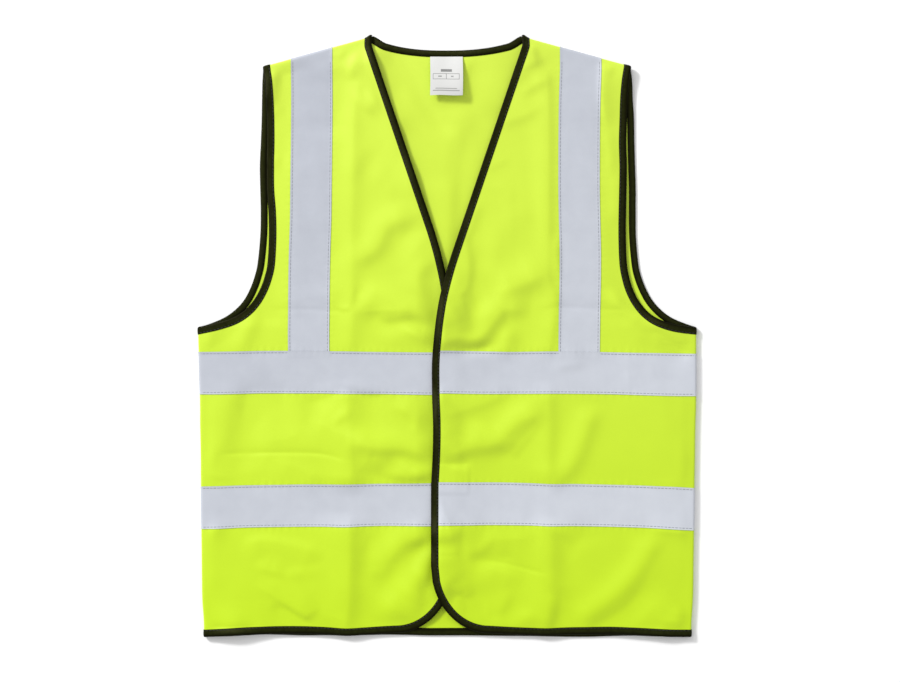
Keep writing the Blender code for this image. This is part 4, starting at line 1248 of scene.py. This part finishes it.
def woven_binding():
    """Black woven polyester tape, folded: fine ribs across it, and a patchy painted highlight on
    its crowns.
    """
    material, tree, shader = start_material(
        "woven_binding", Roughness=0.4, Specular_IOR_Level=0.1,
        Specular_Tint=(1.0, 1.0, 0.4, 1.0))
    flat = add_node(tree, "UVMap", {}, uv_map="Flat").outputs["UV"]
    patchiness = add_node(tree, "TexNoise", {"Vector": flat, "Scale": lumps(4.545), "Detail": 3.0})
    # painted highlight: one band along the crown of each wall of the fold, 9.6 mm wide, made
    # patchy
    crown_highlight_bands = add_node(tree, "TexWave", {"Vector": flat, "Scale": bands(9.607)},
                     bands_direction="Y")
    painted_crown_highlight = add_node(tree, "Math", {0: crown_highlight_bands.outputs["Fac"], 1: patchiness.outputs["Fac"]},
                      operation="MULTIPLY")
    # painted highlight: near black, and paler olive on the crowns
    colour = add_node(tree, "Mix", {0: painted_crown_highlight.outputs[0], 6: from_hex("#040400"),
                                    7: from_hex("#262B0E")}, data_type="RGBA")
    # ribs are often 0.6 mm apart, drawn coarser to show
    ribs = add_node(tree, "TexWave", {"Vector": flat, "Scale": bands(0.8976)},
                    bands_direction="X")
    bump = add_node(tree, "Bump", {"Height": ribs.outputs["Fac"], "Strength": 0.5,
                                   "Distance": 0.2 * MM})
    fill_inputs(tree, shader, {"Base Color": colour.outputs[2], "Normal": bump.outputs["Normal"]})
    return material


def satin_label_tape():
    """White satin-woven polyester with a smooth face and plain grey printed marks."""
    material, tree, shader = start_material("satin_label_tape", Roughness=0.4)
    flat = add_node(tree, "UVMap", {}, uv_map="Flat").outputs["UV"]
    parts = add_node(tree, "SeparateXYZ", {0: flat})
    marks = 0.0
    for *box, weight in LABEL_MARKS:
        inside = 1.0
        for axis, start, end in (("X", *box[:2]), ("Y", *box[2:])):
            span = add_node(tree, "Math", {0: parts.outputs[axis], 1: (start + end) / 2,
                                           2: (end - start) / 2}, operation="COMPARE")
            inside = add_node(tree, "Math", {0: span.outputs[0], 1: inside},
                              operation="MULTIPLY").outputs[0]
        marks = add_node(tree, "Math", {0: inside, 1: weight, 2: marks},
                         operation="MULTIPLY_ADD").outputs[0]
    colour = add_node(tree, "Mix", {0: marks, 6: from_hex("#CDCDCB"), 7: from_hex("#303030")},
                      data_type="RGBA")
    # floats drawn 1 mm apart, coarser than on fine satin, to show; the label's own pattern
    # runs from 0 to 1 over its length
    floats = bands(1.0502 / ((LABEL_TOP - LABEL_BOTTOM) * MM))
    weave = add_node(tree, "TexWave", {"Vector": flat, "Scale": floats}, bands_direction="Y")
    bump = add_node(tree, "Bump", {"Height": weave.outputs["Fac"], "Strength": 0.2,
                                   "Distance": 0.1 * MM})
    fill_inputs(tree, shader, {"Base Color": colour.outputs[2], "Normal": bump.outputs["Normal"]})
    return material


def mottled(name, roughness, size, detail, dark, light):
    """A matt material mottled between two colours, with lumps of a size in millimetres."""
    material, tree, shader = start_material(name, Roughness=roughness)
    place_on = add_node(tree, "TexCoord", {}).outputs["Object"]
    lump = add_node(tree, "TexNoise", {"Vector": place_on, "Scale": lumps(size),
                                       "Detail": detail})
    colour = add_node(tree, "Mix", {0: lump.outputs["Fac"], 6: from_hex(dark),
                                    7: from_hex(light)}, data_type="RGBA")
    fill_inputs(tree, shader, {"Base Color": colour.outputs[2]})
    return material


def spun_thread(name, dark, light):
    """Twisted polyester sewing thread: matt, mottled at random with painted shade for where the
    strands turn under.
    """
    return mottled(name, 0.6, 1.1111, 1.0, dark, light)


def matt_paper():
    """Smooth white paper under the vest, with faint clouds of fibre 11 mm across."""
    return mottled("matt_paper", 0.9, 11.11, 2.0, "#FAFAFA", "#FDFDFD")


# ---------------------------------------------------------------- the vest

def build_vest():
    """Make and place every piece."""
    cloth, tape, binding = knitted_polyester(), reflective_tape(), woven_binding()
    grey = spun_thread("grey_thread", "#868991", "#9C9FA7")
    black = spun_thread("black_thread", "#101010", "#242420")
    back = Lattice("back")
    fronts = {side: Lattice(side) for side in ("right", "left")}
    bindings = {"neck_binding": neck_stretches(back),
                "hem_binding": [edge_stretch(back, [(c, 0) for c in range(len(back.columns))], 1)]}
    for side, front in fronts.items():
        bindings[f"edge_binding_{side}"] = front_edge_stretches(front)
        bindings[f"armhole_binding_{side}"] = armhole_stretches(front, back, side)

    tapes = {"back_panel": [], "front_panel_right": [], "front_panel_left": []}
    bands = ("upper", "lower")
    for level in bands:
        rows = back.row_span(f"{level}_band")
        whole = (0, len(back.columns) - 1)
        tapes["back_panel"].append(
            add_tape(f"band_{level}_back", back, whole, rows, 1, tape))
    for side, front in fronts.items():
        taped = (0, front.column("body", 1.0))
        for level in bands:
            rows = front.row_span(f"{level}_band")
            tapes[f"front_panel_{side}"].append(
                add_tape(f"band_{level}_{side}", front, taped, rows, 1, tape))
        for lattice, face, panel in ((front, "front", f"front_panel_{side}"),
                                     (back, "back", "back_panel")):
            ends = sorted((lattice.column("strap", 1.0, side), lattice.column("brace", 1.0, side)))
            top, end = lattice.row("upper_band", 1.0), len(lattice.rows) - 1
            rows = (top - foot_rows(lattice), end)
            tapes[panel].append(add_tape(f"brace_{face}_{side}", lattice, ends, rows, 0, tape))

    for name, lattice in (("back_panel", back), ("front_panel_right", fronts["right"]),
                          ("front_panel_left", fronts["left"])):
        panel, flat, area = add_panel(name, lattice, cloth)

    for name, stretches in bindings.items():
        piece, cut = add_binding(name, stretches, binding, ring="armhole" in name)

    label, size = add_label(satin_label_tape())

    for face, halves in (("front", (("right", False), ("left", True))),
                         ("back", (("back", False), ("back", True)))):
        lines = [line for side, left in halves for line in tape_rows(side, left)]
        add_piece(f"tape_stitches_{face}", stitch_mesh(lines), grey, None)
        stretches = [stretch for part in bindings.values() for stretch in part
                     if stretch[0].face == face]
        add_piece(f"binding_stitches_{face}", stitch_mesh(binding_rows(stretches)), black, None)


# ---------------------------------------------------------------- floor, light and camera

# In metres and watts
FLOOR_HALF = 4.0
CAMERA_PLACE = 0.0036, -0.006, 3.0
CAMERA_LENS, CAMERA_FILM = 100.0, 36.0
# Each light is: name, place, width, power
LIGHTS = (("key_light", (-3.7, 3.25, 3.3), 1.0, 270.0),
          ("soft_light", (-2.6, 3.5, 3.8), 3.8, 60.0))
SURROUND = 0.66


def add_floor():
    """Wide sheet of white paper."""
    mesh = bmesh.new()
    bmesh.ops.create_grid(mesh, x_segments=1, y_segments=1, size=FLOOR_HALF)
    data = bpy.data.meshes.new("floor")
    mesh.to_mesh(data)
    mesh.free()
    data.materials.append(matt_paper())
    floor = bpy.data.objects.new("floor", data)
    bpy.context.scene.collection.objects.link(floor)


def add_light(name, place, size, power):
    """Square soft box, aimed at the middle of the vest."""
    data = bpy.data.lights.new(name, "AREA")
    data.size = size
    data.energy = power
    light = bpy.data.objects.new(name, data)
    light.location = place
    light.rotation_euler = (-Vector(place)).to_track_quat("-Z", "Y").to_euler()
    bpy.context.scene.collection.objects.link(light)


def add_camera():
    """Camera straight above, with its top towards the neck."""
    data = bpy.data.cameras.new("camera")
    data.lens, data.sensor_width = CAMERA_LENS, CAMERA_FILM
    camera = bpy.data.objects.new("camera", data)
    camera.location = CAMERA_PLACE
    bpy.context.scene.collection.objects.link(camera)
    bpy.context.scene.camera = camera


def light_scene():
    """A small key light over a large soft one, both from the upper left, and a pale surround."""
    for light in LIGHTS:
        add_light(*light)
    world = bpy.data.worlds.new("studio")
    world.use_nodes = True
    pale = world.node_tree.nodes["Background"]
    pale.inputs["Color"].default_value = (1.0, 1.0, 1.0, 1.0)
    pale.inputs["Strength"].default_value = SURROUND
    bpy.context.scene.world = world
    bpy.context.scene.view_settings.view_transform = "Standard"


add_floor()
add_camera()
light_scene()
build_vest()
